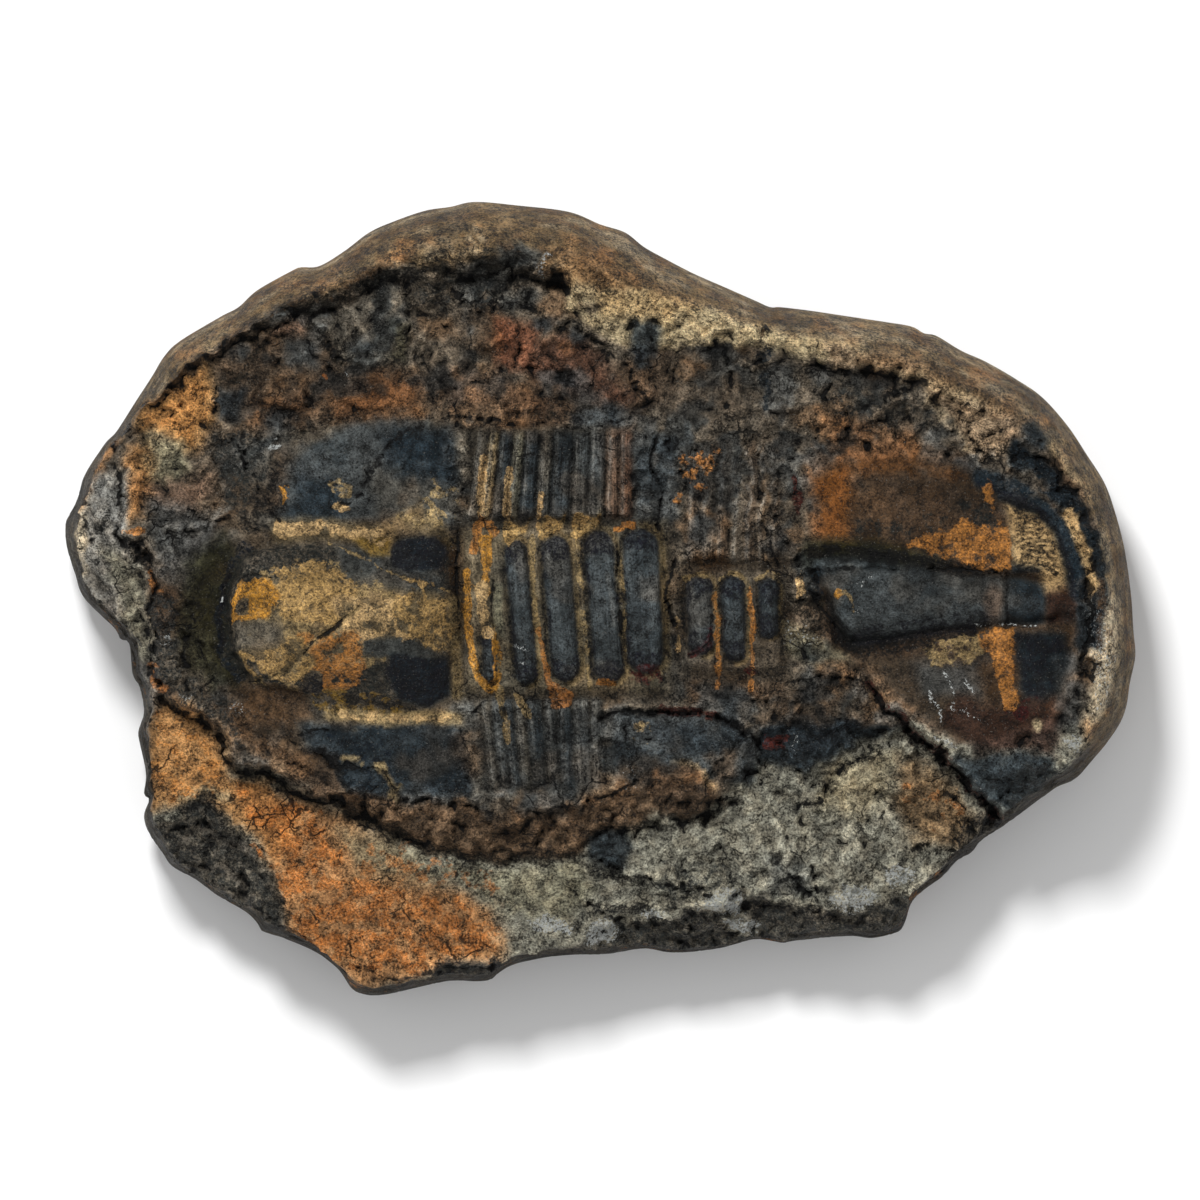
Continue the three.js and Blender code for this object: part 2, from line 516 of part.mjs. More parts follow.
// Triangles over a rectangle: each new point replaces the triangles whose circle holds it
function triangulate(corners, points) {
  const all = [...corners, ...points];
  const circle = (a, b, c) => {
    const [ax, ay] = all[a];
    const [bx, by] = [all[b][0] - ax, all[b][1] - ay];
    const [cx, cy] = [all[c][0] - ax, all[c][1] - ay];
    const double = 2 * (bx * cy - by * cx);
    const x = (cy * (bx * bx + by * by) - by * (cx * cx + cy * cy)) / double;
    const y = (bx * (cx * cx + cy * cy) - cx * (bx * bx + by * by)) / double;
    return { a, b, c, x: ax + x, y: ay + y, reach: x * x + y * y };
  };
  let triangles = [circle(0, 1, 2), circle(0, 2, 3)];
  for (let p = corners.length; p < all.length; p++) {
    const [x, y] = all[p];
    const edges = new Map();
    const kept = [];
    for (const triangle of triangles) {
      if ((x - triangle.x) ** 2 + (y - triangle.y) ** 2 >= triangle.reach) {
        kept.push(triangle);
        continue;
      }
      const { a, b, c } = triangle;
      for (const [from, to] of [[a, b], [b, c], [c, a]]) {
        if (!edges.delete(`${to},${from}`)) edges.set(`${from},${to}`, [from, to]);
      }
    }
    triangles = kept;
    for (const [from, to] of edges.values()) triangles.push(circle(from, to, p));
  }
  return { all, triangles };
}

// Everything under the top face, as one closed block
function topBlock() {
  const corners = [
    [-blockHalfLength, -blockHalfWidth], [blockHalfLength, -blockHalfWidth],
    [blockHalfLength, blockHalfWidth], [-blockHalfLength, blockHalfWidth],
  ];
  const { all, triangles } = triangulate(corners, facePoints());
  const positions = all.flatMap(([x, y]) => [x, y, surfaceHeight(x, y)]);
  const under = all.length;
  for (const [x, y] of corners) positions.push(x, y, blockFloor);
  const faces = triangles.flatMap(({ a, b, c }) => [a, b, c]);
  faces.push(under, under + 2, under + 1, under, under + 3, under + 2);
  for (let i = 0; i < 4; i++) {
    const next = (i + 1) % 4;
    faces.push(i, under + i, under + next, i, under + next, next);
  }
  return new wasm.Manifold(new wasm.Mesh({
    numProp: 3,
    vertProperties: new Float32Array(positions),
    triVerts: new Uint32Array(faces),
  }));
}

// How far the side stands in from the outer edge at a height, on the rind and on the broken sides
function sideInset(z, rindShare) {
  const rise = (z - rindEquator) / (z > rindEquator ? rindTopReach : rindUnderReach);
  const reach = z > rindEquator ? rindInset : rindUnderInset;
  const rind = reach * (1 - Math.sqrt(1 - clamp(Math.abs(rise), 0, 1) ** 2));
  const above = z - breakEquator;
  const broken = above > 0 ? above * breakInsetAbove : -above * breakInsetBelow;
  return lerp(broken, rind, rindShare);
}

// The rind covers the back and the right side, from the left shoulder round to the right front corner
function rindShareAt(x, y) {
  const bearing = THREE.MathUtils.radToDeg(Math.atan2(y, x));
  const fromRight = smoothstep(bearing, -24, -10);
  const fromLeft = bearing > 0 ? 1 - smoothstep(bearing, 150, 172) : 1;
  return fromRight * fromLeft;
}

// The slab's sides as a stack of rings, closed below and above
function sideShell() {
  const edge = edgeOutline.map(([x, y]) => new THREE.Vector3(x, y, 0));
  let calm = edge;
  for (let pass = 0; pass < 6; pass++) {
    calm = calm.map((point, i) => {
      const after = calm[(i + 1) % calm.length];
      return point.clone().add(calm.at(i - 1)).add(after).divideScalar(3);
    });
  }
  const positions = [];
  for (const [level, z] of sideLevels.entries()) {
    edge.forEach((point, i) => {
      const rindShare = rindShareAt(point.x, point.y);
      const inset = sideInset(z, rindShare);
      const base = point.clone().lerp(calm[i], clamp(inset / calmInset, 0, 1));
      const target = new THREE.Vector3(clamp(base.x, -middleReach, middleReach) * 0.9, 0, 0);
      const rough = lerp(breakRoughness, rindRoughness, rindShare) * noise(i * 2.7, z, 5);
      const flatEnd = level === 0 || level === sideLevels.length - 1;
      const wander = flatEnd ? 0 : rough * clamp(inset / roughFrom, 0, 1);
      base.add(target.sub(base).normalize().multiplyScalar(inset + wander));
      positions.push(base.x, base.y, z);
    });
  }
  const columns = edge.length;
  const faces = [];
  for (let level = 1; level < sideLevels.length; level++) {
    for (let i = 0; i < columns; i++) {
      const next = (i + 1) % columns;
      const [low, high] = [(level - 1) * columns, level * columns];
      faces.push(low + i, high + i, high + next, low + i, high + next, low + next);
    }
  }
  for (const [level, up] of [[0, false], [sideLevels.length - 1, true]]) {
    const ring = edge.map((_, i) => {
      const at = (level * columns + i) * 3;
      return new THREE.Vector2(positions[at], positions[at + 1]);
    });
    for (const [a, b, c] of THREE.ShapeUtils.triangulateShape(ring, [])) {
      const facesUp = ring[b].clone().sub(ring[a]).cross(ring[c].clone().sub(ring[a])) > 0;
      const start = level * columns;
      faces.push(start + a, start + (facesUp === up ? b : c), start + (facesUp === up ? c : b));
    }
  }
  const geometry = new THREE.BufferGeometry();
  geometry.setAttribute("position", new THREE.Float32BufferAttribute(positions, 3));
  geometry.setIndex(faces);
  const merged = mergeVertices(geometry);
  return new wasm.Manifold(new wasm.Mesh({
    numProp: 3,
    vertProperties: new Float32Array(merged.attributes.position.array),
    triVerts: new Uint32Array(merged.index.array),
  }));
}

const solid = sideShell().intersect(topBlock()).getMesh();
const slabGeometry = new THREE.BufferGeometry();
slabGeometry.setAttribute("position", new THREE.Float32BufferAttribute(solid.vertProperties, 3));
slabGeometry.setIndex([...solid.triVerts]);
slabGeometry.computeVertexNormals();

const rock = new THREE.MeshStandardMaterial({ color: 0x5f584d, roughness: 0.85, metalness: 0 });
const fossilSlab = new THREE.Mesh(slabGeometry, rock);
fossilSlab.name = "fossil_slab";

const fossil = new THREE.Group();
fossil.add(fossilSlab);

export default fossil;
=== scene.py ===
import math
import bpy
import numpy as np
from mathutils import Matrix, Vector
from mathutils.geometry import delaunay_2d_cdt


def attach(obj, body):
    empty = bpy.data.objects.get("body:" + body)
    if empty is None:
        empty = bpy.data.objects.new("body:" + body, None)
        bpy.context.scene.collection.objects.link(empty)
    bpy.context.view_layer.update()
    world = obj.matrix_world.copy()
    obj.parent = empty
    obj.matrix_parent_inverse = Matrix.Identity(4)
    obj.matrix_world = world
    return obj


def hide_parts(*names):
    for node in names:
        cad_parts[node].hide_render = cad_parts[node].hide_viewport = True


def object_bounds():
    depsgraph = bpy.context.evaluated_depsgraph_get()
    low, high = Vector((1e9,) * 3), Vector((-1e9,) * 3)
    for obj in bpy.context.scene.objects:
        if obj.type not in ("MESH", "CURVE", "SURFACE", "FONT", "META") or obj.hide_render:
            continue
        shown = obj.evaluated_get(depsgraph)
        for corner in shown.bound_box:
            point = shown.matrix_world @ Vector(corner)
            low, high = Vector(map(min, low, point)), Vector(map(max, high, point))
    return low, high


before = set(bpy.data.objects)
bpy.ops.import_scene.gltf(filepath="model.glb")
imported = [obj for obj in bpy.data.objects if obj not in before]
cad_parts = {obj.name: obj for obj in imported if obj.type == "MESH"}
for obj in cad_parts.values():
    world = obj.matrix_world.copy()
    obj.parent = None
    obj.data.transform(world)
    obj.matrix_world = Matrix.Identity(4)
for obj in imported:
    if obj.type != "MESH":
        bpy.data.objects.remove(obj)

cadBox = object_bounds()
metresPerMm = 0.001
print("frame loaded, box", cadBox)

# The slab: heights above the table and the way its sides curve, in millimetres
slab = {
    "rimHeight": 34.0,
    "rimFall": 0.0004,  # drop of the rim along X, per mm squared
    "rimCentreX": -15.0,
    "bedHeight": 27.5,
    "ledgeHeight": 21.5,
    "ledgeTilt": 0.05,
    "tailBlockHeight": 28.6,
    "leftBlockHeight": 25.4,
    "rindEquator": 13.0,
    "rindInset": 11.0,
    "rindTopReach": 22.0,
    "rindUnderInset": 15.0,
    "rindUnderReach": 13.6,
    "breakEquator": 8.0,
    "breakInsetAbove": 0.15,
    "breakInsetBelow": 0.55,
    "middleReach": 40.0,
    "calmInset": 7.0,
    "scarFall": (1.6, 0.36),  # drop at the edge of a break, and fall per mm beyond it
    "frontFall": (1.0, 0.75),
    "cornerFall": 1.15,
    "hollowDepth": 1.3,
}

# How finely the visible stone is meshed, in millimetres
mesh = {
    "columnSpacing": 0.62,
    "sideRows": 33,
    "fineSpacing": 0.43,
    "openSpacing": 0.64,
    "underSpacing": 3.2,
    "fineArea": (-64.0, 79.0, -19.0, 29.0),
    "creaseSpacing": 0.34,
}

# Outer edge seen from above, clockwise from the highest point
outerEdge = [
    (-20, 63.9), (-13, 63.3), (-5, 62.3), (0, 60.3), (4, 59), (7, 56.7), (10, 55), (15, 52.4),
    (20, 50.2), (25, 48), (27.3, 47), (29, 47), (34, 46.4), (40, 45.5), (46, 44.6), (50, 43.9),
    (52, 42.8), (54, 42.4), (58, 40), (62, 38.2), (67, 35.3), (71, 32.5), (75, 28), (78, 23.5),
    (81, 18.7), (82.8, 13.6), (84.2, 8), (85.2, 1), (85.6, -5), (85.9, -9), (85, -13.5),
    (84.5, -17), (83.5, -20), (81, -24), (77, -28.6), (73.5, -30.2), (69.5, -33), (65.5, -36),
    (61.5, -38.6), (59.8, -40.6), (57.5, -42), (55, -44.6), (51.5, -47.2), (50, -49),
    (49.2, -51.5), (48, -53.4), (44, -54.4), (39.5, -54.1), (31, -54.9), (29.5, -55.2),
    (25, -54.6), (20, -55.9), (15, -56.6), (11, -56.7), (7, -56.1), (1, -57), (-6, -57.2),
    (-13, -58.4), (-16, -59.8), (-18.2, -61.3), (-24, -61.3), (-28, -62.1), (-35, -63.6),
    (-38, -63.5), (-40, -62.5), (-42, -59.6), (-45.5, -56.8), (-50.5, -54.6), (-54.3, -53.3),
    (-55, -52.2), (-57, -50.2), (-61.8, -47.4), (-65, -45), (-68.7, -43), (-70.5, -40.6),
    (-72.6, -37.5), (-73.4, -34.7), (-72.6, -32.2), (-73.4, -31.2), (-73.1, -28), (-74.1, -23),
    (-74.3, -21), (-73.4, -18), (-74.1, -14), (-75.2, -12), (-75.8, -7), (-77.2, -6.3),
    (-78.2, -4.5), (-83, 0.3), (-84.6, 4.5), (-85.9, 9), (-86, 12.5), (-84.3, 16), (-83, 20.5),
    (-80, 25.2), (-78, 27.2), (-75, 31.5), (-72, 35.8), (-70, 39), (-67.5, 41.5), (-61, 45.4),
    (-58, 47), (-55, 49.7), (-49.5, 52.8), (-48, 53.4), (-45, 53.6), (-41, 56), (-37, 59),
    (-33, 60.8), (-28, 62.5), (-24, 63.1),
]

# Steps of the top face: a foot line and a top line bound each slope, and run on outside the slab
bedFoot = [
    (-95, -16), (-71.5, -16), (-68, -17.6), (-64, -19.3), (-61, -21.5), (-59.5, -25),
    (-57.5, -27.2), (-53, -28.3), (-50.5, -29.8), (-48.5, -31.8), (-42.5, -31.9), (-39, -34.5),
    (-35, -36.8), (-31, -38.6), (-27, -40.2), (-20, -40.3), (-16, -41), (-4, -40.7), (0, -38.2),
    (4, -37.2), (7, -35.5), (10, -35), (14, -35.5), (17, -34.2), (19.5, -32.6), (22, -32.6),
    (23, -27.6), (26, -26.6), (34.5, -27.2), (37.5, -25.8), (42.5, -22.3), (49, -20.8),
    (95, -20), (95, 80), (-95, 80),
]
bedTop = [
    (-95, -14.8), (-71.5, -14.8), (-68, -16.3), (-64, -18), (-60.5, -20.2), (-58.3, -24),
    (-56.5, -25.9), (-52.5, -27), (-49.5, -28.3), (-47.5, -30.2), (-41, -30.6), (-34, -31.4),
    (-28, -32), (-18.5, -32.4), (-15, -34), (-11, -32), (-5, -32.6), (0, -31), (6, -28.4),
    (13, -28), (18.6, -30.2), (21.5, -27), (22, -24.5), (24, -22), (27, -20.6), (33, -21),
    (42, -18.8), (49, -18.6), (95, -18), (95, 80), (-95, 80),
]
rimFoot = [
    (-100, 29), (-71.5, 32), (-65, 36.3), (-60.5, 39.5), (-56.5, 42), (-49.5, 44.6),
    (-46.5, 45.4), (-41, 46.8), (-36, 49), (-31, 50.4), (-26, 50.2), (-20, 51.5), (-15, 51.6),
    (-12, 50.4), (-5.5, 49.8), (-5.4, 46.4), (-3.5, 43.6), (0.5, 40.4), (5, 39.6), (15, 40),
    (20, 39.6), (31, 37.6), (36, 37.4), (46, 35.3), (51, 33.4), (55, 31), (58, 27.5), (61, 23),
    (63.5, 20.5), (66, 21.5), (70, 22.6), (73, 20.5), (75.5, 16), (77.3, 11), (78.6, 5),
    (79.2, -1), (78.6, -6), (76.5, -10), (76, -15), (76.5, -20), (77.5, -25.5), (100, -25.5),
    (100, 100), (-100, 100),
]
rimTop = [
    (-100, 30.5), (-72, 34), (-66, 38), (-61, 41.5), (-57, 44), (-51, 47), (-45.5, 49.5),
    (-40, 52), (-35, 53.4), (-30, 55), (-24, 55.5), (-17, 56.3), (-12, 56.3), (-9, 55.3),
    (-4.8, 51.3), (-4.2, 49.6), (0, 48.8), (6, 48.6), (13, 47.8), (20, 46.8), (26, 44.8),
    (31, 42.6), (36, 40.8), (42, 39.2), (48, 37.6), (53, 35.2), (58, 32.6), (66, 30.4),
    (70, 27), (73.5, 23.5), (76, 19.5), (78, 15), (79.6, 10), (80.6, 4), (81, -2), (80.4, -8),
    (79, -14), (78, -20), (78.5, -25), (100, -25), (100, 100), (-100, 100),
]
tailBlock = [
    (42, -11), (43.5, -14), (46, -16.5), (49, -19.5), (52, -22.5), (57.5, -27.3),
    (60.5, -30.7), (64, -34.5), (72, -44), (100, -44), (100, 0), (42, 0),
]
cornerBreak = [
    (57.5, -26), (62, -26.6), (66, -27), (71, -26.4), (76, -25.6), (80, -25), (100, -25),
    (100, -60), (64, -60), (60.5, -31.5),
]
leftBlock = [
    (-100, 27), (-77, 27), (-75.2, 20), (-75, 10), (-73.6, 5), (-72, 0.5), (-71.7, -8),
    (-70.6, -13), (-71.5, -16.5), (-72.3, -24), (-72, -32), (-100, -34),
]
leftLayers = [
    [(-100, 17), (-85, 15.4), (-83, 12.8), (-81.3, 11), (-80.4, 6), (-77.5, 0.5), (-76, -6),
     (-76, -30), (-100, -30)],
    [(-100, 22), (-80.5, 14.5), (-78.4, 11), (-76, 7), (-74.2, 2), (-73.4, -8), (-73.4, -30),
     (-100, -30)],
]
stainHollow = [
    (-74.6, 31), (-70, 34.5), (-66, 36.8), (-60.8, 37.8), (-61.5, 33), (-62, 30), (-61, 27),
    (-62.5, 24), (-64.5, 20), (-68, 15), (-74, 12.5), (-74.5, 20),
]
chipScar = [
    (-100, -33), (-73, -35.6), (-66.5, -34.8), (-66.8, -32.2), (-64, -31.4), (-61.5, -32.6),
    (-59, -36), (-56.5, -39.3), (-54, -41.5), (-51.8, -43.5), (-50.6, -47.5), (-49.6, -52),
    (-49.2, -60), (-100, -60),
]
frontBreak = [
    (-30, -61.6), (-27, -60), (-24.5, -57.8), (-20, -57.2), (-13.5, -57.6), (-6, -56.2),
    (-3, -54.6), (0, -52.5), (5, -51.8), (8, -50.9), (13, -51), (15, -48.6), (20, -48.6),
    (25, -46.6), (30, -49), (38, -49.6), (45, -49.2), (50, -46.6), (54, -43), (57, -38.6),
    (58.6, -34.5), (62.5, -33.4), (80, -50), (50, -80), (-30, -80),
]

# Rough ground: outline, height of the lumps, size of the lumps
roughGround = [
    ([(-50, -30), (-34, -31), (-15, -33), (5, -28), (19, -27), (20, -34), (6, -38), (-16, -42),
      (-34, -39)], 1.5, 3.6),
    ([(34, 37), (50, 34), (58, 26), (62, 21), (52, 24.5), (38, 25), (30, 30)], 1.3, 4.0),
    ([(29, 6), (36, 7), (38, 0), (40, -8), (38, -12), (30, -9), (29, 0)], 1.0, 3.0),
    ([(-8, -52), (4, -46), (24, -44), (46, -44), (58, -34), (66, -34), (50, -58), (-8, -60)],
     1.2, 4.0),
    ([(-30, 54), (-16, 55), (-6, 46), (4, 38), (4, 30), (-24, 31), (-31, 40)], 0.9, 4.2),
    ([(-60, 34), (-53, 42), (-46, 44), (-40, 34), (-52, 28), (-60, 14), (-66, 0), (-70, 0),
      (-66, 16)], 0.8, 4.0),
]

# Head shield with its glabella
head = {
    "glabella": [
        (-59.8, -2.5), (-59, 2.5), (-57, 6), (-53, 8.4), (-47, 9.4), (-34, 8.8), (-26, 10),
        (-24, 8), (-23.4, -3), (-24, -15), (-27, -17), (-34, -17.2), (-46, -15.4),
        (-53, -13.6), (-57, -11), (-59.2, -7.5),
    ],
    "shield": [
        (-66, -2), (-64.5, 10), (-59, 20), (-51, 26.5), (-40, 29.5), (-24, 29.5), (-22.5, 0),
        (-22, -31), (-34, -31), (-46, -28), (-56, -21), (-63, -12),
    ],
    "glabellaRise": 5.4,
    "glabellaShoulder": 11.5,
    "shieldRise": 1.1,
    "furrowDepth": 1.6,
    "furrowReach": 3.2,
    "frontReach": 6.5,
    "lobes": [(-45.3, 16.2, 4.2, 3.2, 0.7), (-37.0, -28.6, 6.0, 3.0, 1.2)],
}

# Thorax: axial rings as centre x at y = 0, lean along y, half width, upper and lower end
thorax = {
    "rings": [
        (-18.0, -0.04, 1.15, -4.2, -13.2),
        (-12.7, -0.085, 1.75, 9.5, -13.4),
        (-6.4, -0.085, 2.25, 10.2, -13.0),
        (0.5, -0.085, 2.35, 10.9, -13.2),
        (6.8, -0.04, 2.85, 11.2, -11.6),
        (15.9, -0.02, 2.2, 3.9, -8.6),
        (21.4, -0.01, 1.8, 3.9, -9.6),
        (26.9, 0.0, 1.6, 3.3, -5.8),
    ],
    # the vault that carries them: left, right, upper edge, lower edge
    "axis": [(-22.4, 11.0, 12.6, -15.2), (12.6, 29.4, 5.6, -12.0)],
    "axisRise": 2.6,
    "axisEnds": 2.4,
    "ringRise": 1.3,
    "ringGroove": 0.45,
    "furrowDepth": 0.45,
    # ribbed side fields: edge at the axis, outer edge, spread, edges of the ribs, height of a rib
    "pleurae": [
        (12.6, 27.8, 0.13,
         [-21.6, -19.5, -17.6, -15.2, -13.2, -10.6, -8.4, -5.0, -2.2, 0.6, 2.8, 5.2], 0.7),
        (-15.4, -31.0, 0.13, [-19.5, -17.6, -15.8, -14.1, -12.0, -9.3, -7.0, -4.6, -1.8, 0.6], 0.55),
        (5.8, 26.0, 0.0, [13.6, 15.9, 18.3, 20.7, 22.7, 24.8, 26.8, 28.8], 0.2),
    ],
    "spreadEnd": 5.0,
    "spreadRun": 25.0,
    "pleuraRise": 0.8,
    "ribGroove": 0.42,
}

# Tail shield with its tapering axis
tail = {
    "shield": [
        (33, 20), (38, 23.4), (50, 24), (58, 22.4), (62, 19.4), (68, 18), (72, 15.2), (75, 10.5),
        (76.8, 5), (77.6, -1), (76.6, -8), (75.4, -15), (72, -20.5), (64, -23.6), (57, -23.6),
        (50, -18.6), (43, -12), (36, -10),
    ],
    "left": 33.5,
    "right": 76.5,
    "wideHalf": 7.1,
    "tipHalf": 2.5,
    "wideMid": -0.4,
    "tipMid": 0.3,
    "startX": 35.4,
    "startLean": -0.46,
    "axisRise": 3.9,
    "furrowDepth": 1.9,
    "furrowReach": 3.4,
    "fieldRise": 1.3,
    "terraces": [(65, 17), (71, 16), (74.5, 10), (75.5, 3), (71, 1.5), (70, 5), (65.5, 6)],
    "terracePitch": 0.95,
    "terraceRise": 0.12,
}

# Cracks and edges that the relief cuts and the paint darkens
stepLine = [(0, -19), (3, -17.8), (10, -17.8), (18, -18.8), (22, -20.6), (25, -23.8)]
tailBreak = [(42.5, -13), (45, -16), (48, -19), (51, -22), (54, -24.5), (57, -27), (60, -30.5), (63.5, -34)]
leftGap = [(-73, 6), (-71.4, 4), (-70.4, 1), (-71.4, -2), (-71.3, -9), (-70.6, -14)]
ledgeFlake = [(44, -23), (40.5, -26), (37.4, -30), (35, -32.5), (31, -33)]
plateSide = [(-31, 50), (-30.4, 46), (-31.4, 43), (-31.2, 38)]
redEdge = [(-14, 43.5), (-12.9, 41), (-12.8, 37.6), (-16, 36.2), (-21, 33.2)]
bedEdge = [(-24, 50), (-19, 46), (-16, 47.5), (-10, 46)]
ringLine = [(18, -2.6), (17.4, -6.6), (15.6, -8.2), (14, -9)]
lowCheekEdge = [(-50, -23), (-47, -24.3), (-42, -24.8), (-41, -27), (-40, -30), (-36, -31.5)]
scarLines = [
    [(-68, -39), (-65, -35.5), (-60, -37), (-55, -40)],
    [(-69, -42), (-65, -42.3), (-60, -42.5), (-56, -46)],
    [(-62, -46), (-57, -47), (-53, -50)],
]
glabellaCrack = [(-38.4, -1), (-43, -5), (-46, -7), (-50, -11.4), (-56, -13)]

# Broad cracks: path, half width, depth
broadCracks = [
    ([(-14, 51.9), (-10, 50.9), (-5, 50.4)], 1.6, 1.8),
    ([(25.5, 47.2), (27, 44.5), (26.8, 42.4)], 1.0, 2.4),
    ([(-75.6, 9), (-73.6, 8), (-73, 6)], 1.4, 3.0),
    (leftGap, 0.8, 1.6),
    (stepLine, 0.9, 1.5),
    ([(-46, -24.8), (-42, -25.6), (-38, -26.2), (-33.4, -27.4), (-31.6, -30)], 0.9, 1.2),
    (tailBreak, 0.7, 1.3),
    ([(33.4, 1.4), (36, -2), (39.6, -7)], 1.8, 1.3),
]

# Fine cracks and flake edges: one path each
fineCracks = [
    [(-6.5, 45.6), (-3.5, 43.2), (-0.5, 41.2), (2, 39)], [(5.2, 41), (5.1, 36), (5.8, 33.6), (8, 32),
    (10.2, 30.8)], [(-24, 29.4), (-15, 28.3), (-5, 28), (-2, 27.5), (5, 29)], [(-4, -40.6), (0, -41.6),
    (5, -44.2), (14, -44.8)], ledgeFlake, [(44.5, -34), (46.5, -38)], [(48, -38.8), (52, -39), (56, -40.2)],
    [(55, -30), (59, -34)], plateSide, redEdge, bedEdge, [(-17, 50), (-14, 47.6), (-10, 46)], [(28.3, 21),
    (28, 14), (27, 11), (27.3, 8), (28.5, 5.5)], [(-33, 25.5), (-35.5, 21), (-38.5, 17.6), (-40.4, 16),
    (-43, 15)], [(-67, 37.2), (-65, 36.9), (-62.5, 37.8), (-59.8, 40.4)], [(-70.8, 32.4), (-68.6, 34),
    (-66.2, 34.4)], [(33.6, -38.5), (35, -45), (34, -48)], ringLine, [(32.8, 38), (38, 37), (45, 35.7),
    (50, 34.8), (49.5, 33.5), (42, 30.5)], [(52, 34.8), (58, 31.8), (60, 30.4), (65, 30)], [(-61.8, 28.4),
    (-61, 34.4)], [(-84, 15), (-82.3, 12.6), (-81, 9), (-80.5, 6)], [(-80, 13.5), (-77, 10), (-75, 7.5),
    (-74, 5)], [(-55.4, 44.8), (-52, 43), (-50, 42), (-47, 44.6)], [(-46.5, 45), (-45, 43), (-42, 40),
    (-38, 37)], lowCheekEdge, [(5, -52), (8, -51), (13, -51), (15, -48.5), (18, -51)], [(16, -45.5),
    (20, -48.6), (25, -44)], [(27, -46), (31, -43.8), (33.5, -46), (35, -49)], [(-5, -46), (-1, -49),
    (4, -52)], [(-40, -58.4), (-34, -60.6), (-27, -60)], [(-27, -58), (-20, -58.6), (-13, -58)], *scarLines,
    [(33, 4.8), (42, 5), (52, 4.9), (60, 4.7), (65, 4.4)], [(64.8, 4.4), (64.6, 0), (64.9, -4)],
    [(-22.6, 11), (-23, 6), (-22.6, 0), (-22.2, -7)], [(-17, 3), (-17.3, -1), (-17, -5)], [(2.6, 9),
    (2.7, 3), (3.2, -2), (3.6, -6)], [(-58, 2.8), (-55, 4.2), (-52, 3.4)], glabellaCrack, [(-51, 12.6),
    (-54, 16), (-56, 21), (-57, 26)], [(-66, 14.6), (-62, 12), (-58, 12.6), (-54, 11)], [(9.6, 27), (8, 22),
    (10, 17), (9, 12), (12, 7), (10.4, 0), (12.6, -6)], [(30, -13), (36, -12), (42, -13)], [(23, -26),
    (21.6, -30), (22, -33)], [(-12, -33.6), (-6, -33), (0, -31.6), (6, -28.6)], [(-34, -31.8), (-26, -32.6),
    (-17, -33)], [(58, 27), (61, 23.6), (63.6, 21)], [(20, 39), (22, 34), (20, 29)], [(-52, -21),
    (-47, -21.6), (-42, -20.6)],
]
fineCrack = {"half": 0.45, "depth": 0.5, "step": 1.3, "stray": 0.3, "ledge": 0.9, "ledgeReach": 5.0}


# Repeatable noise between -1 and 1 on a square lattice
def latticeValue(i, j):
    spread = np.sin(i * 127.1 + j * 311.7) * 43758.5453
    return (spread - np.floor(spread)) * 2 - 1


def smoothStep(value, low, high):
    share = np.clip((value - low) / (high - low), 0, 1)
    return share * share * (3 - 2 * share)


# 1 between low and high, falling to 0 over a soft edge inside each
def softWindow(value, low, high, soft):
    return smoothStep(value, low, low + soft) * (1 - smoothStep(value, high - soft, high))


def softNoise(x, y, size):
    i = np.floor(x / size)
    j = np.floor(y / size)
    across = smoothStep(x / size - i, 0, 1)
    along = smoothStep(y / size - j, 0, 1)
    low = latticeValue(i, j) * (1 - across) + latticeValue(i + 1, j) * across
    high = latticeValue(i, j + 1) * (1 - across) + latticeValue(i + 1, j + 1) * across
    return low * (1 - along) + high * along


def layeredNoise(x, y, size, octaves=3):
    total = np.zeros_like(x)
    for octave in range(octaves):
        total += softNoise(x + 31.7 * octave, y - 17.3 * octave, size / 2 ** octave) / 2 ** octave
    return total / 1.6


# Flat-faced chips: each point takes the tilted plane of its nearest seed
def chippedNoise(x, y, size, tilt=0.9):
    cellX = np.floor(x / size)
    cellY = np.floor(y / size)
    nearest = np.full(x.shape, 1e9)
    value = np.zeros_like(x)
    for stepX in (-1, 0, 1):
        for stepY in (-1, 0, 1):
            i = cellX + stepX
            j = cellY + stepY
            awayX = x / size - (i + 0.5 + 0.42 * latticeValue(i + 5.3, j))
            awayY = y / size - (j + 0.5 + 0.42 * latticeValue(i, j + 9.1))
            squared = awayX ** 2 + awayY ** 2
            slope = tilt * (latticeValue(i + 2.2, j) * awayX + latticeValue(i, j + 4.4) * awayY)
            value = np.where(squared < nearest, 0.6 * latticeValue(i, j) + slope, value)
            nearest = np.minimum(nearest, squared)
    return value


# Breaks and stains wander a little from their drawn lines: in angular jogs on rock, hardly on the ribs
wander = {"bends": 0.7, "jogs": 0.75, "ripple": 0.35}


def strayed(x, y):
    onRibs = softWindow(x, -28, 16, 4) * softWindow(y, -33, 30, 3)
    onTail = softWindow(x, 12, 78, 4) * softWindow(y, -18, 16, 4)
    onHead = softWindow(x, -60, -24, 4) * smoothStep(y, -21, -18) * (1 - smoothStep(y, 12, 16))
    loose = 1 - 0.9 * onRibs - 0.7 * np.maximum(onTail, onHead)
    bends = wander["bends"] * softNoise(x, y, 5.5) + wander["ripple"] * softNoise(x, y, 1.3)
    alongX = bends + wander["jogs"] * chippedNoise(x + 70, y, 2.9)
    bends = wander["bends"] * softNoise(x, y + 50, 5.5) + wander["ripple"] * softNoise(x + 9, y, 1.3)
    alongY = bends + wander["jogs"] * chippedNoise(x, y + 70, 2.9)
    return x + loose * alongX, y + loose * alongY


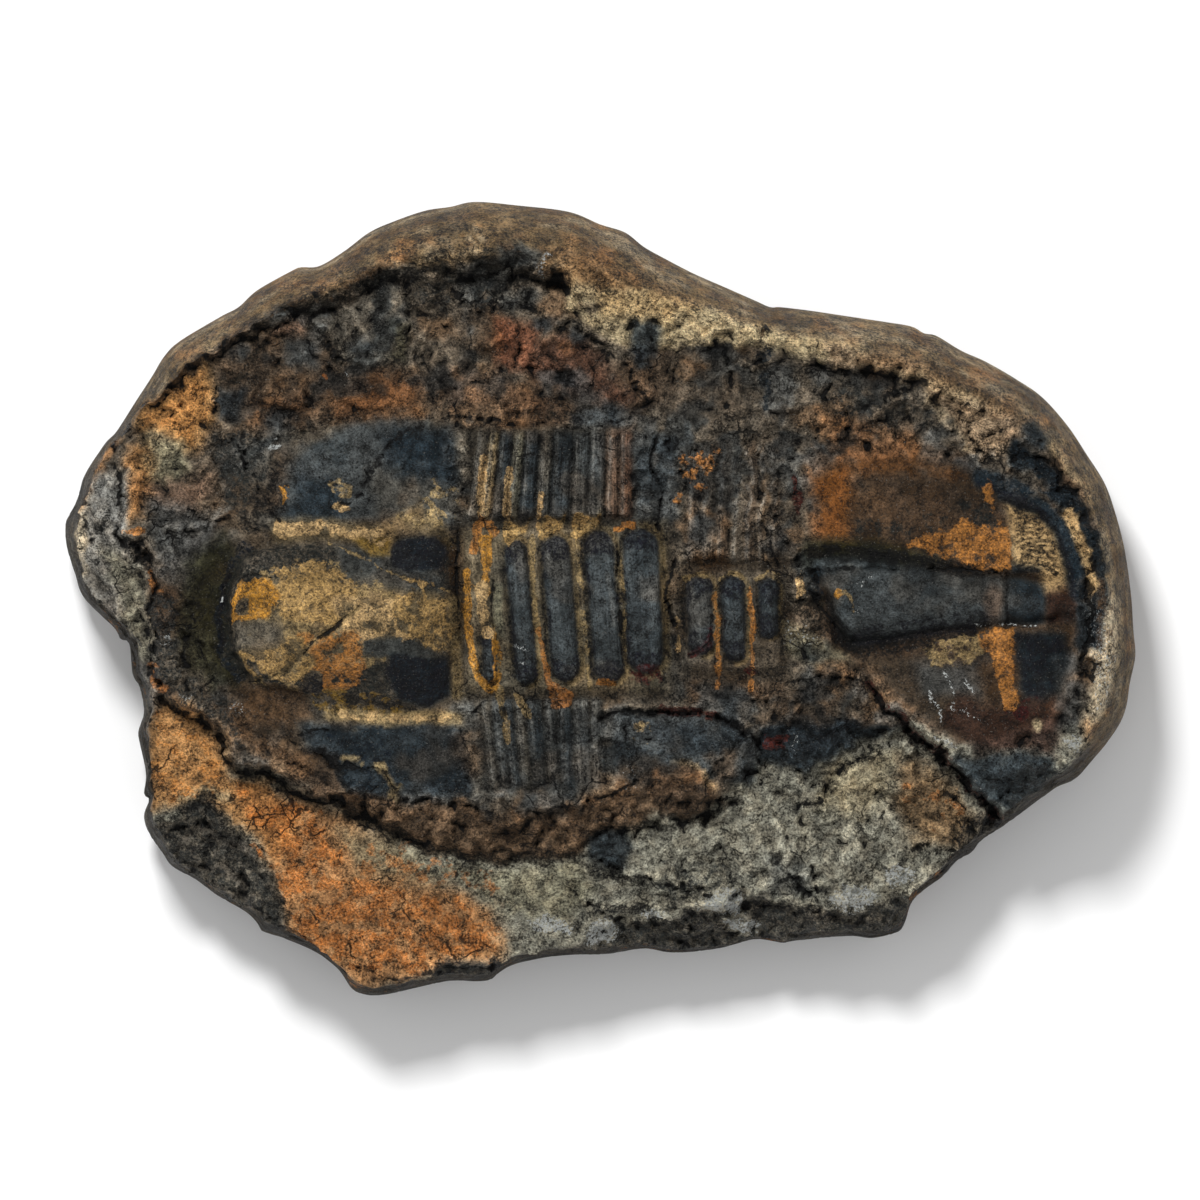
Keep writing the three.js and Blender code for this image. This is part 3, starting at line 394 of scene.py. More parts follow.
# Nearest place on a straight piece, as a share of its length, and the squared distance to it
def toPiece(ax, ay, bx, by, x, y):
    along = ((x - ax) * (bx - ax) + (y - ay) * (by - ay)) / ((bx - ax) ** 2 + (by - ay) ** 2)
    along = np.clip(along, 0, 1)
    return along, (x - ax - along * (bx - ax)) ** 2 + (y - ay - along * (by - ay)) ** 2


# Distance to a chain of straight pieces
def pathDistance(path, x, y):
    nearest = np.full(x.shape, 1e9)
    for (ax, ay), (bx, by) in zip(path, path[1:]):
        nearest = np.minimum(nearest, toPiece(ax, ay, bx, by, x, y)[1])
    return np.sqrt(nearest)


# Distance from a closed outline, positive inside it
def depthInside(outline, x, y):
    inside = np.zeros(x.shape, bool)
    closed = list(outline) + [outline[0]]
    for (ax, ay), (bx, by) in zip(closed, closed[1:]):
        if ay == by:
            continue
        crosses = (ay > y) != (by > y)
        inside ^= crosses & (x < ax + (y - ay) * (bx - ax) / (by - ay))
    distance = pathDistance(closed, x, y)
    return np.where(inside, distance, -distance)


# 0 at the foot line of a slope, 1 at its top line
def slopeShare(foot, top, x, y):
    aboveFoot = depthInside(foot, x, y)
    belowTop = -depthInside(top, x, y)
    between = aboveFoot / np.maximum(aboveFoot + belowTop, 1e-6)
    return np.where(aboveFoot <= 0, 0.0, np.where(belowTop <= 0, 1.0, between))


def rockHeight(x, y):
    z = slab["ledgeHeight"] + slab["ledgeTilt"] * (y + 40)
    for outline, (drop, fall) in ((chipScar, slab["scarFall"]), (frontBreak, slab["frontFall"])):
        into = np.maximum(depthInside(outline, x, y), 0)
        z = z - np.minimum(drop, into) - fall * into
    bedShare = slopeShare(bedFoot, bedTop, x, y)
    bed = slab["bedHeight"] - 0.02 * np.maximum(0, -20 - y)
    z = z + (bed - z) * bedShare
    ontoTail = np.clip(depthInside(tailBlock, x, y) / 0.9, 0, 1)
    tailTop = slab["tailBlockHeight"] - 0.12 * np.maximum(0, y + 16)
    z = np.maximum(z, z + (tailTop - z) * ontoTail)
    z = z - slab["cornerFall"] * np.maximum(depthInside(cornerBreak, x, y), 0)
    ontoLeft = np.clip(depthInside(leftBlock, x, y) / 1.2, 0, 1)
    leftTop = slab["leftBlockHeight"] - 0.35 * np.maximum(0, -77 - x) - 0.05 * np.maximum(0, -y)
    z = z + (leftTop - z) * ontoLeft
    for layer in leftLayers:
        z = z - np.clip(depthInside(layer, x, y) / 1.2, 0, 1)
    z = z - slab["hollowDepth"] * np.clip(depthInside(stainHollow, x, y) / 1.6, 0, 1)
    rim = slab["rimHeight"] - slab["rimFall"] * (x - slab["rimCentreX"]) ** 2
    return z + (rim - z) * slopeShare(rimFoot, rimTop, x, y)


def headHeight(x, y):
    ontoShield = depthInside(head["shield"], x, y)
    ontoGlabella = depthInside(head["glabella"], x, y)
    cheek = head["shieldRise"] * smoothStep(ontoShield, 0, 8)
    front = smoothStep(-x, 50, 60)
    reach = head["furrowReach"] + (head["frontReach"] - head["furrowReach"]) * front
    away = np.where(ontoGlabella < -0.6, (-0.6 - ontoGlabella) / reach, (ontoGlabella + 0.6) / 2)
    furrow = -head["furrowDepth"] * (0.3 + 1.1 * front) * (1 - smoothStep(away, 0, 1))
    inward = 1 - np.clip(ontoGlabella, 0, head["glabellaShoulder"]) / head["glabellaShoulder"]
    soft = 0.45 + 0.35 * smoothStep(x, -56, -40)
    dome = (1 - soft) * np.sqrt(1 - inward ** 2) + soft * smoothStep(1 - inward, 0, 1)
    z = cheek + furrow + head["glabellaRise"] * dome
    for lobeX, lobeY, halfX, halfY, rise in head["lobes"]:
        z = z + rise * np.clip(1 - ((x - lobeX) / halfX) ** 2 - ((y - lobeY) / halfY) ** 2, 0, 1)
    return np.where(ontoShield > -8, z * smoothStep(ontoShield, -8, -5), 0)


# Distance from a ring's middle line, in half widths: round ends, 1 on its edge
def ringReach(ring, x, y):
    centre, lean, half, top, bottom = ring
    middle = [(centre + lean * (top - half), top - half), (centre + lean * (bottom + half), bottom + half)]
    return pathDistance(middle, x, y) / half


def ringHeight(x, y):
    z = np.zeros_like(x)
    for left, right, top, bottom in thorax["axis"]:
        window = softWindow(x, left, right, thorax["axisEnds"])
        along = (2 * y - top - bottom) / (top - bottom)
        z += thorax["axisRise"] * window * np.clip(1 - along ** 2, 0, 1)
        past = (np.abs(along) - 1) * (top - bottom) / 2
        z -= thorax["furrowDepth"] * window * (1 - smoothStep(np.abs(past), 0, 2.2))
    for ring in thorax["rings"]:
        reach = ringReach(ring, x, y)
        z += thorax["ringRise"] * np.clip(1 - reach ** 2, 0, 1) ** 0.75
        z -= thorax["ringGroove"] * (1 - smoothStep(np.abs(reach - 1.15) * ring[2], 0, 0.8))
    return z


# Where a place lies across the ribs, once their spread away from the axis is taken out
def ribPlace(x, y, near, spread):
    share = np.clip((thorax["spreadEnd"] - x) / thorax["spreadRun"], 0, 1)
    return x - spread * np.abs(y - near) * share


def pleuraHeight(x, y):
    z = np.zeros_like(x)
    for near, far, spread, edges, rise in thorax["pleurae"]:
        out = (y - near) / (far - near)
        place = ribPlace(x, y, near, spread) + 0.2 * softNoise(x, y * 0.4, 1.7)
        edges = np.array(edges)
        band = np.clip(np.searchsorted(edges, place) - 1, 0, len(edges) - 2)
        within = np.clip((place - edges[band]) / (edges[band + 1] - edges[band]), 0, 1)
        window = softWindow(place, edges[0], edges[-1], 1)
        ends = smoothStep(out, 0, 0.08) * (1 - smoothStep(out, 0.84, 1))
        nearest = np.minimum(np.abs(place - edges[band]), np.abs(edges[band + 1] - place))
        groove = thorax["ribGroove"] * np.clip(1 - nearest / 0.5, 0, 1)
        strength = 0.8 + 0.4 * softNoise(x, y * 0.4, 4.0)
        rib = rise * strength * (0.5 * np.sin(math.pi * within) + 0.5 * within)
        z += window * ends * (thorax["pleuraRise"] * (1 - out) + rib - groove * rise / 0.5)
    return z


def tailHeight(x, y):
    ontoShield = depthInside(tail["shield"], x, y)
    along = np.clip((x - tail["left"]) / (tail["right"] - tail["left"]), 0, 1)
    half = tail["wideHalf"] + (tail["tipHalf"] - tail["wideHalf"]) * along
    middle = tail["wideMid"] + (tail["tipMid"] - tail["wideMid"]) * along
    across = np.abs(y - middle) / half
    past = np.clip((along - 0.82) / 0.18, 0, 1)
    ends = smoothStep(x - tail["startX"] - tail["startLean"] * y, 0, 3) * np.sqrt(1 - past ** 2)
    crown = tail["axisRise"] * (1 - 0.45 * along) * np.clip(1 - across ** 2, 0, 1) ** 0.7
    reach = tail["furrowReach"] * (1 - 0.75 * along)
    hollow = (1 - smoothStep(np.abs(y - middle) - half, 0, reach)) * (1 - 0.7 * along)
    hollow = hollow * smoothStep(x, 29, 35) * (1 - smoothStep(x, 72, 76))
    field = tail["fieldRise"] * smoothStep(ontoShield, 1.5, 9)
    border = 0.9 * smoothStep(x, 60, 68) * (1 - smoothStep(np.abs(ontoShield - 1.2), 0, 1.6))
    wavy = y + 0.5 * softNoise(x, y, 2.4)
    terrace = np.cos(wavy * 2 * math.pi / tail["terracePitch"])
    onTerraces = smoothStep(depthInside(tail["terraces"], x, y), 0, 1.5)
    z = field + border + tail["terraceRise"] * terrace * onTerraces
    return np.where(ontoShield > 0, z, 0) + crown * ends - tail["furrowDepth"] * hollow


# A path with small jogs to each side
def jagged(path, seed):
    points = [path[0]]
    for (ax, ay), (bx, by) in zip(path, path[1:]):
        length = math.hypot(bx - ax, by - ay)
        count = max(1, round(length / fineCrack["step"]))
        for k in range(1, count + 1):
            share = k / count
            stray = fineCrack["stray"] * float(latticeValue(seed + ax, 7.0 * k + by)) if k < count else 0
            points.append((ax + (bx - ax) * share - (by - ay) / length * stray,
                           ay + (by - ay) * share + (bx - ax) / length * stray))
    return points


cracks = [(jagged(path, 3), half, depth) for path, half, depth in broadCracks]
cracks += [(jagged(path, 5), fineCrack["half"], fineCrack["depth"]) for path in fineCracks]


# Height that a crack leaves on its higher side, dying out with distance and towards its ends
def ledgeBeside(path, x, y):
    nearest = np.full(x.shape, 1e9)
    rise = np.zeros_like(x)
    for k, ((ax, ay), (bx, by)) in enumerate(zip(path, path[1:])):
        along, squared = toPiece(ax, ay, bx, by, x, y)
        left = (bx - ax) * (y - ay) - (by - ay) * (x - ax) > 0
        fromEnds = np.minimum(k + along, len(path) - 1 - k - along) / 2.5
        here = np.clip(fromEnds, 0, 1) * left
        rise = np.where(squared < nearest, here, rise)
        nearest = np.minimum(nearest, squared)
    return rise * np.clip(1 - np.sqrt(nearest) / fineCrack["ledgeReach"], 0, 1) ** 2


# How deep the cracks cut, less the ledges beside them
def crackCut(x, y):
    cut = np.zeros_like(x)
    ledge = np.zeros_like(x)
    for path, half, depth in cracks:
        points = np.array(path)
        low = points.min(0) - fineCrack["ledgeReach"]
        high = points.max(0) + fineCrack["ledgeReach"]
        near = np.flatnonzero((x > low[0]) & (x < high[0]) & (y > low[1]) & (y < high[1]))
        share = np.clip(1 - pathDistance(path, x[near], y[near]) / half, 0, 1)
        cut[near] = np.maximum(cut[near], depth * share)
        ledge[near] = np.maximum(ledge[near], ledgeBeside(path, x[near], y[near]))
    return cut - fineCrack["ledge"] * ledge


# Share of the fossil's own shell at a place, 0 on bare rock
def shellShare(x, y):
    shell = np.clip(depthInside(head["glabella"], x, y) + 2, 0, 1)
    shell = np.maximum(shell, np.clip(depthInside(tail["shield"], x, y) / 2, 0, 1))
    shell = np.maximum(shell, 0.7 * np.clip(depthInside(head["shield"], x, y) / 2, 0, 1))
    for near, far, spread, edges, rise in thorax["pleurae"][:2]:
        field = [(edges[0], near), (edges[-1], near), (edges[-1], far), (edges[0], far)]
        shell = np.maximum(shell, 0.8 * np.clip(depthInside(field, x, y), 0, 1))
    for left, right, top, bottom in thorax["axis"]:
        field = [(left, bottom), (right, bottom), (right, top), (left, top)]
        shell = np.maximum(shell, 0.92 * np.clip(depthInside(field, x, y) / 2 + 1, 0, 1))
    return shell


# Thin flakes of rock: flat treads with sharp edges between them
def flakeHeight(x, y, size, riser):
    level = 2.6 * layeredNoise(x, y, size, 4) + 0.3 * softNoise(x, y + 60, 1.3)
    tread = np.floor(level)
    return riser * (tread + smoothStep(level - tread, 0, 0.2))


# How broken the ground is: 0 on the fossil's shell, 1 on fresh breaks
def brokenness(x, y):
    share = np.full(x.shape, 0.8)
    for outline, lump, size in roughGround:
        share = np.maximum(share, np.clip(depthInside(outline, x, y) / 2, 0, 1) * lump / 1.4)
    for outline in (frontBreak, cornerBreak, chipScar):
        share = np.maximum(share, 0.8 * np.clip(depthInside(outline, x, y) / 1.5, 0, 1))
    onLedge = 1 - smoothStep(slopeShare(bedFoot, bedTop, x, y), 0, 0.5)
    orangeSide = onLedge * (1 - smoothStep(x, -8, 4)) * (1 - np.clip(depthInside(chipScar, x, y), 0, 1))
    share = share * (1 - 0.62 * orangeSide) * (1 - 0.86 * shellShare(x, y))
    rim = slopeShare(rimFoot, rimTop, x, y)
    onSlope = 4 * rim * (1 - rim)
    share = share * (1 - rim) + 0.14 * rim
    return np.maximum(share, 0.85 * onSlope)


# Thin beds that run along the weathered rim, between -1 and 1
def strata(x, y, z=0):
    inward = depthInside(outerEdge, x, y)
    return layeredNoise(np.arctan2(y, x) * 10, inward * 1.1 + 0.1 * z, 1.0, 3)


# Relief of the rock on top of its forms, in millimetres: height and size of each kind
relief = {
    "waves": (0.35, 7.0),
    "chips": ((0.85, 5.2), (0.5, 2.1)),
    "grain": (0.32, 1.5),
    "flakes": ((8.5, 0.8), (3.6, 0.3)),  # size of a flake, height of its edge
    "rimBeds": 0.5,
}


# Height of the whole top face
def surfaceHeight(wideX, wideY):
    x, y = strayed(wideX, wideY)
    z = rockHeight(x, y) + headHeight(x, y) + ringHeight(x, y) + pleuraHeight(x, y) + tailHeight(x, y)
    z = z - crackCut(x, y)
    for outline, lump, size in roughGround:
        z = z + lump * np.clip(depthInside(outline, x, y) / 2, 0, 1) * softNoise(x, y, size)
    wave, waveSize = relief["waves"]
    grain, grainSize = relief["grain"]
    broken = grain * layeredNoise(x, y, grainSize, 2)
    for shift, (height, size) in zip((0, 50), relief["chips"]):
        broken += height * chippedNoise(x + shift, y, size)
    for shift, (size, riser) in zip((0, 90), relief["flakes"]):
        broken += flakeHeight(x + shift, y, size, riser)
    onRim = smoothStep(slopeShare(rimFoot, rimTop, x, y), 0.7, 1)
    beds = relief["rimBeds"] * smoothStep(-strata(x, y), 0.1, 0.4) * onRim
    return z + wave * softNoise(x + 40, y, waveSize) - beds + brokenness(x, y) * broken


# The rind covers the back and the right side, from the left shoulder round to the right front corner
def rindShareAt(x, y):
    bearing = np.degrees(np.arctan2(y, x))
    fromLeft = np.where(bearing > 0, 1 - smoothStep(bearing, 150, 172), 1)
    return smoothStep(bearing, -24, -10) * fromLeft


def sideInset(z, rindShare):
    above = z > slab["rindEquator"]
    reach = np.where(above, slab["rindTopReach"], slab["rindUnderReach"])
    deepest = np.where(above, slab["rindInset"], slab["rindUnderInset"])
    rise = np.clip(np.abs(z - slab["rindEquator"]) / reach, 0, 1)
    rind = deepest * (1 - np.sqrt(1 - rise ** 2))
    over = z - slab["breakEquator"]
    broken = np.where(over > 0, over * slab["breakInsetAbove"], -over * slab["breakInsetBelow"])
    return broken + (rind - broken) * rindShare


# A smooth closed line through the outer edge's points, evenly spaced
def outerColumns():
    points = np.array(outerEdge, float)
    before = np.roll(points, 1, 0)
    after = np.roll(points, -1, 0)
    afterNext = np.roll(points, -2, 0)
    steps = np.linspace(0, 1, 12, endpoint=False)[:, None, None]
    curve = 0.5 * (2 * points + (after - before) * steps
                   + (2 * before - 5 * points + 4 * after - afterNext) * steps ** 2
                   + (3 * points - before - 3 * after + afterNext) * steps ** 3)
    dense = curve.transpose(1, 0, 2).reshape(-1, 2)
    closed = np.vstack([dense, dense[:1]])
    travelled = np.concatenate([[0], np.cumsum(np.hypot(*np.diff(closed, axis=0).T))])
    count = int(travelled[-1] / mesh["columnSpacing"])
    stops = np.linspace(0, travelled[-1], count, endpoint=False)
    edge = np.column_stack([np.interp(stops, travelled, closed[:, k]) for k in (0, 1)])
    return edge, stops


# Running mean round the closed line, so that notches fade towards the middle of the slab
def calmed(edge, reachMm):
    reach = int(reachMm / mesh["columnSpacing"])
    padded = np.vstack([edge[-reach:], edge, edge[:reach]])
    total = np.cumsum(np.vstack([[0, 0], padded]), axis=0)
    width = 2 * reach + 1
    return (total[width:] - total[:-width]) / width


class SideShape:  # where the slab's side stands at a height, column by column
    def __init__(self):
        self.edge, self.travelled = outerColumns()
        self.calm = calmed(self.edge, 11)
        self.rindShare = rindShareAt(self.edge[:, 0], self.edge[:, 1])

    def at(self, z):
        inset = sideInset(z, self.rindShare)
        fade = np.clip(inset / slab["calmInset"], 0, 1)[:, None]
        base = self.edge * (1 - fade) + self.calm * fade
        target = np.zeros_like(base)
        target[:, 0] = np.clip(base[:, 0], -slab["middleReach"], slab["middleReach"]) * 0.9
        inward = target - base
        inward /= np.hypot(inward[:, 0], inward[:, 1])[:, None]
        # broken sides show thin layers, the rind soft lumps
        layers = 0.7 * chippedNoise(self.travelled, z * 3.2, 9.0) + 0.3 * softNoise(self.travelled, z, 1.6)
        lumps = 0.5 * softNoise(self.travelled, z, 12) + 0.2 * softNoise(self.travelled, z, 3.5)
        rough = 0.9 * layers * (1 - self.rindShare) + 0.4 * lumps * self.rindShare
        calmEnd = np.clip(z / 2, 0, 1) * np.clip(np.abs(inset) / 1.5, 0, 1)
        return base + inward * (inset + rough * calmEnd)[:, None]


# Rows of points up the side, from the underside to where the top face starts
def sideRows(side):
    low = np.full(len(side.edge), 5.0)
    high = np.full(len(side.edge), 36.0)
    for _ in range(18):
        middle = (low + high) / 2
        place = side.at(middle)
        under = surfaceHeight(place[:, 0], place[:, 1]) > middle
        low = np.where(under, middle, low)
        high = np.where(under, high, middle)
    brow = (low + high) / 2
    samples = 90
    levels = [brow * k / samples for k in range(samples + 1)]
    track = np.array([np.column_stack([side.at(z), z]) for z in levels])
    gaps = np.linalg.norm(np.diff(track, axis=0), axis=2)
    travelled = np.vstack([np.zeros(len(brow)), np.cumsum(gaps, axis=0)])
    rows = np.zeros((mesh["sideRows"], len(brow), 3))
    for column in range(len(brow)):
        stops = np.linspace(0, travelled[-1, column], mesh["sideRows"])
        for axis in range(3):
            rows[:, column, axis] = np.interp(stops, travelled[:, column], track[:, column, axis])
    return rows


def hexPoints(spacing, left, right, low, high):
    rowStep = spacing * math.sqrt(3) / 2
    rows = np.arange(low, high, rowStep)
    across = np.arange(left, right, spacing)
    x, y = np.meshgrid(across, rows)
    x = x + (np.arange(len(rows)) % 2)[:, None] * spacing / 2
    x = x.ravel() + 0.2 * spacing * latticeValue(x.ravel() * 3.1, y.ravel())
    y = y.ravel() + 0.2 * spacing * latticeValue(y.ravel() * 2.3, x.ravel())
    return np.column_stack([x, y])


def creasePoints():
    found = []
    step = mesh["creaseSpacing"]
    for path, half, depth in cracks:
        for (ax, ay), (bx, by) in zip(path, path[1:]):
            count = max(1, round(math.hypot(bx - ax, by - ay) / step))
            for k in range(count):
                share = k / count
                x = ax + (bx - ax) * share
                y = ay + (by - ay) * share
                found.append((x, y))
    found = np.array(found)
    _, kept = np.unique(np.round(found / 0.2), axis=0, return_index=True)
    return found[np.sort(kept)]


# Points of the top face: dense on the trilobite, open elsewhere, and along each crack
def facePoints(browLine):
    left, right, low, high = mesh["fineArea"]
    fine = hexPoints(mesh["fineSpacing"], left, right, low, high)
    wide = hexPoints(mesh["openSpacing"], -87, 87, -65, 65)
    gap = mesh["openSpacing"] / 2
    inFine = (wide[:, 0] > left - gap) & (wide[:, 0] < right + gap)
    inFine &= (wide[:, 1] > low - gap) & (wide[:, 1] < high + gap)
    openGround = np.vstack([fine, wide[~inFine]])
    creases = creasePoints()
    cell = 0.3
    taken = np.zeros((700, 520), bool)
    i, j = ((creases + (100, 75)) / cell).astype(int).T
    for stepX in (-1, 0, 1):
        for stepY in (-1, 0, 1):
            taken[i + stepX, j + stepY] = True
    i, j = ((openGround + (100, 75)) / cell).astype(int).T
    clear = ~taken[i, j]
    points = np.vstack([creases, openGround[clear]])
    within = depthInside([tuple(p) for p in browLine[::2]], points[:, 0], points[:, 1])
    return points[within > 0.45]


# Triangles inside a closed line, with the line's points first
def fillInside(line, points):
    corners = [Vector(p) for p in np.vstack([line, points])]
    faces = delaunay_2d_cdt(corners, [], [list(range(len(line)))], 1, 1e-7)[2]
    return np.array(faces)


# The whole closed stone: corners in mm, quads up the sides, triangles above and below
def slabShape():
    side = SideShape()
    rows = sideRows(side)
    count = rows.shape[1]
    brow = rows[-1]
    topXY = facePoints(brow[:, :2])
    topZ = surfaceHeight(topXY[:, 0], topXY[:, 1])
    base = rows[0]
    underXY = hexPoints(mesh["underSpacing"], -85, 85, -63, 63)
    inBase = depthInside([tuple(p) for p in base[::2, :2]], underXY[:, 0], underXY[:, 1]) > 1.5
    underXY = underXY[inBase]
    corners = np.vstack([
        rows.reshape(-1, 3),
        np.column_stack([topXY, topZ]),
        np.column_stack([underXY, np.zeros(len(underXY))]),
    ])
    lowest = np.array(cadBox[0]) / metresPerMm
    highest = np.array(cadBox[1]) / metresPerMm
    corners = np.clip(corners, lowest, highest)
    faces = []
    for row in range(mesh["sideRows"] - 1):
        lower = np.arange(count) + row * count
        upper = lower + count
        faces.append(np.column_stack([lower, upper, np.roll(upper, -1), np.roll(lower, -1)]))
    quads = np.vstack(faces)
    topStart = (mesh["sideRows"] - 1) * count
    sideTotal = mesh["sideRows"] * count
    topFaces = fillInside(brow[:, :2], topXY)
    topFaces = np.where(topFaces < count, topFaces + topStart, topFaces - count + sideTotal)
    underFaces = fillInside(base[:, :2], underXY)
    underTotal = sideTotal + len(topXY)
    underFaces = np.where(underFaces < count, underFaces, underFaces - count + underTotal)
    print("slab corners", len(corners), "triangles", 2 * len(quads) + len(topFaces) + len(underFaces))
    return corners, quads, upward(topFaces, corners, True), upward(underFaces, corners, False)


# Turns triangles so that they all face up, or all face down
def upward(faces, corners, up):
    a, b, c = (corners[faces[:, k]] for k in (0, 1, 2))
    lift = (b[:, 0] - a[:, 0]) * (c[:, 1] - a[:, 1]) - (b[:, 1] - a[:, 1]) * (c[:, 0] - a[:, 0])
    return np.where(((lift > 0) == up)[:, None], faces, faces[:, ::-1])


def stoneObject(corners, quads, topFaces, underFaces):
    shape = bpy.data.meshes.new("fossilStone")
    faces = quads.tolist() + topFaces.tolist() + underFaces.tolist()
    shape.from_pydata((corners * metresPerMm).tolist(), [], faces)
    shape.validate()
    shape.polygons.foreach_set("use_smooth", [True] * len(shape.polygons))
    stone = bpy.data.objects.new("fossilStone", shape)
    bpy.context.scene.collection.objects.link(stone)
    return stone


# The stone's colours as they look in daylight, 0 to 255; the near-blacks also serve as painted shade and
# shadow
stoneColours = {
    "rindBrown": (104, 87, 63), "rindTan": (126, 110, 85), "rindPale": (150, 136, 112),
    "rindRust": (122, 92, 62), "rindShade": (88, 69, 50), "rindCream": (184, 170, 144),
    "rindOrange": (150, 106, 66), "underBrown": (99, 84, 64), "cream": (160, 145, 114),
    "creamOrange": (164, 138, 98), "plateGrey": (82, 77, 68), "shadowAndDarkRockBlack": (25, 23, 19),
    "charcoal": (38, 40, 39), "rockGrey": (80, 73, 63), "rockBrown": (66, 53, 41),
    "redBrown": (78, 55, 43), "orangeRed": (98, 62, 44), "pinkBrown": (98, 78, 64),
    "creamPink": (134, 114, 92), "navyGrey": (54, 58, 59), "navy": (32, 39, 44),
    "navyBlack": (22, 29, 34), "tan": (140, 120, 84), "paleTan": (178, 148, 104),
    "gold": (172, 122, 50), "goldLight": (170, 138, 88), "olive": (36, 35, 24),
    "oliveGold": (116, 92, 46), "orange": (160, 108, 56), "rust": (142, 94, 52),
    "redOrange": (146, 90, 44), "greenGrey": (114, 110, 90), "ledgeGrey": (116, 114, 102),
    "paleLedge": (130, 120, 96), "brownLedge": (108, 87, 62), "lightGrey": (114, 113, 108),
    "blueGrey": (68, 72, 73), "darkRed": (66, 28, 22),
    "tailBrown": (66, 53, 42), "tailRed": (56, 42, 36), "tailOrange": (112, 70, 38),
    "sideGrey": (70, 66, 60), "shadowAndStainBlack": (14, 15, 16),
    "septumGrey": (92, 84, 68), "dustyTan": (104, 90, 66),
}


darkTones = {"shadowAndDarkRockBlack", "shadowAndStainBlack", "navyBlack", "charcoal", "darkRed"}


# Lays colour on the stone: a ground colour, shade and mineral stain over it, and pale scuffs with painted
# highlights
class StonePaint:
    def __init__(self, x, y):
        self.x, self.y = strayed(x, y)
        self.ground = np.zeros((len(x), 3))
        self.stain = np.zeros((len(x), 3))
        self.cover = np.zeros(len(x))
        self.scuff = np.zeros(len(x))
        self.crack = np.zeros(len(x))
        self.shadeTone = np.zeros((len(x), 3))
        self.shade = np.zeros(len(x))
        self.streak = np.zeros(len(x))
        self.streakPlace = self.x + 0.085 * self.y

    def nearby(self, points, margin):
        points = np.array(points, float)
        low = points.min(0) - margin
        high = points.max(0) + margin
        inside = (self.x > low[0]) & (self.x < high[0]) & (self.y > low[1]) & (self.y < high[1])
        return np.flatnonzero(inside)

    # a dark tone is kept apart as shade and a stain as cover, because the shader frays their edges
    def lay(self, colour, where, share, stain=False):
        if colour == "scuff":
            self.scuff[where] = np.maximum(self.scuff[where], share)
            return
        tone = np.array(stoneColours[colour], float)
        touched = np.clip(share * 8, 0, 1)[:, None]
        if stain:
            self.stain[where] += (tone - self.stain[where]) * touched
            self.cover[where] = np.maximum(self.cover[where], share)
        elif colour in darkTones:
            self.shadeTone[where] += (tone - self.shadeTone[where]) * touched
            self.shade[where] = np.maximum(self.shade[where], share)
        else:
            self.ground[where] += (tone - self.ground[where]) * share[:, None]
            self.shade[where] *= 1 - share

    def area(self, colour, outline, share=1.0, soft=0.8, stain=False):
        where = self.nearby(outline, soft + 1)
        depth = depthInside(outline, self.x[where], self.y[where])
        self.lay(colour, where, share * smoothStep(depth, -soft, soft), stain)

    def line(self, colour, path, half=0.8, share=1.0, stain=False):
        where = self.nearby(path, half * 2)
        away = pathDistance(path, self.x[where], self.y[where])
        self.lay(colour, where, share * (1 - smoothStep(away, 0.45 * half, 1.35 * half)), stain)

    def spot(self, colour, place, halfX, halfY, share=1.0, stain=False):
        corners = [(place[0] - halfX * 1.5, place[1] - halfY * 1.5),
                   (place[0] + halfX * 1.5, place[1] + halfY * 1.5)]
        where = self.nearby(corners, 0)
        away = np.hypot((self.x[where] - place[0]) / halfX, (self.y[where] - place[1]) / halfY)
        self.lay(colour, where, share * (1 - smoothStep(away, 0.6, 1.35)), stain)

    def bare(self, outline, soft=0.6):
        where = self.nearby(outline, soft + 1)
        depth = depthInside(outline, self.x[where], self.y[where])
        self.cover[where] *= 1 - smoothStep(depth, -soft, soft)


def paintRim(p):
    p.line("rindPale", [(-33, 60), (-27, 61.3), (-20, 61.5), (-12, 60.5)], 1.6, 0.6)
    p.spot("rindRust", (5, 54), 14, 4, 0.7)
    p.area("rindRust", [(10, 51), (24, 47), (38, 44), (38, 41.5), (24, 45), (10, 49)], 0.5, 1.5)
    p.area("rindShade", [(44, 41), (58, 37), (68, 32), (66, 30.5), (52, 34.5), (42, 38.5)], 0.8, 1.6)
    p.area("rindCream", [(78, 4), (84, 0), (84.5, -14), (82, -22), (77, -23), (78, -8)], 0.97, 2)
    # painted highlights among pale scuffs on the right wall
    p.area("scuff", [(77, 1), (81, 0), (83, -8), (82, -17), (77.5, -18), (78, -8)], 0.55, 1.5)
    p.line("rindOrange", [(-77, 29), (-73, 34), (-69.5, 39)], 1.6, 0.9)
    p.line("rindOrange", [(-42, 55.6), (-37, 58.6), (-32, 60.6)], 1.1, 0.6)
    p.line("rindCream", [(-85, 5), (-85.5, 11), (-84, 15.5)], 2.8, 1.0)
    p.line("rindOrange", [(-84, 16), (-82, 21), (-79, 26)], 2.4, 0.8)
    p.area("rindTan", [(-68, 38.5), (-62, 38.8), (-61.6, 43.8), (-65, 42.6)], 0.6)
    p.line("paleTan", [(-67, 39), (-64.5, 42), (-62, 44)], 0.8, 0.7)
    p.spot("rindShade", (-58, 47.5), 7, 1.2, 0.6)
    p.spot("rindOrange", (80, -21), 3.4, 2.4, 0.6)
    p.area("rindTan", [(66, 35), (77, 24), (82, 12), (80.5, 9), (76, 20), (66, 31.5)], 0.6, 1.5)


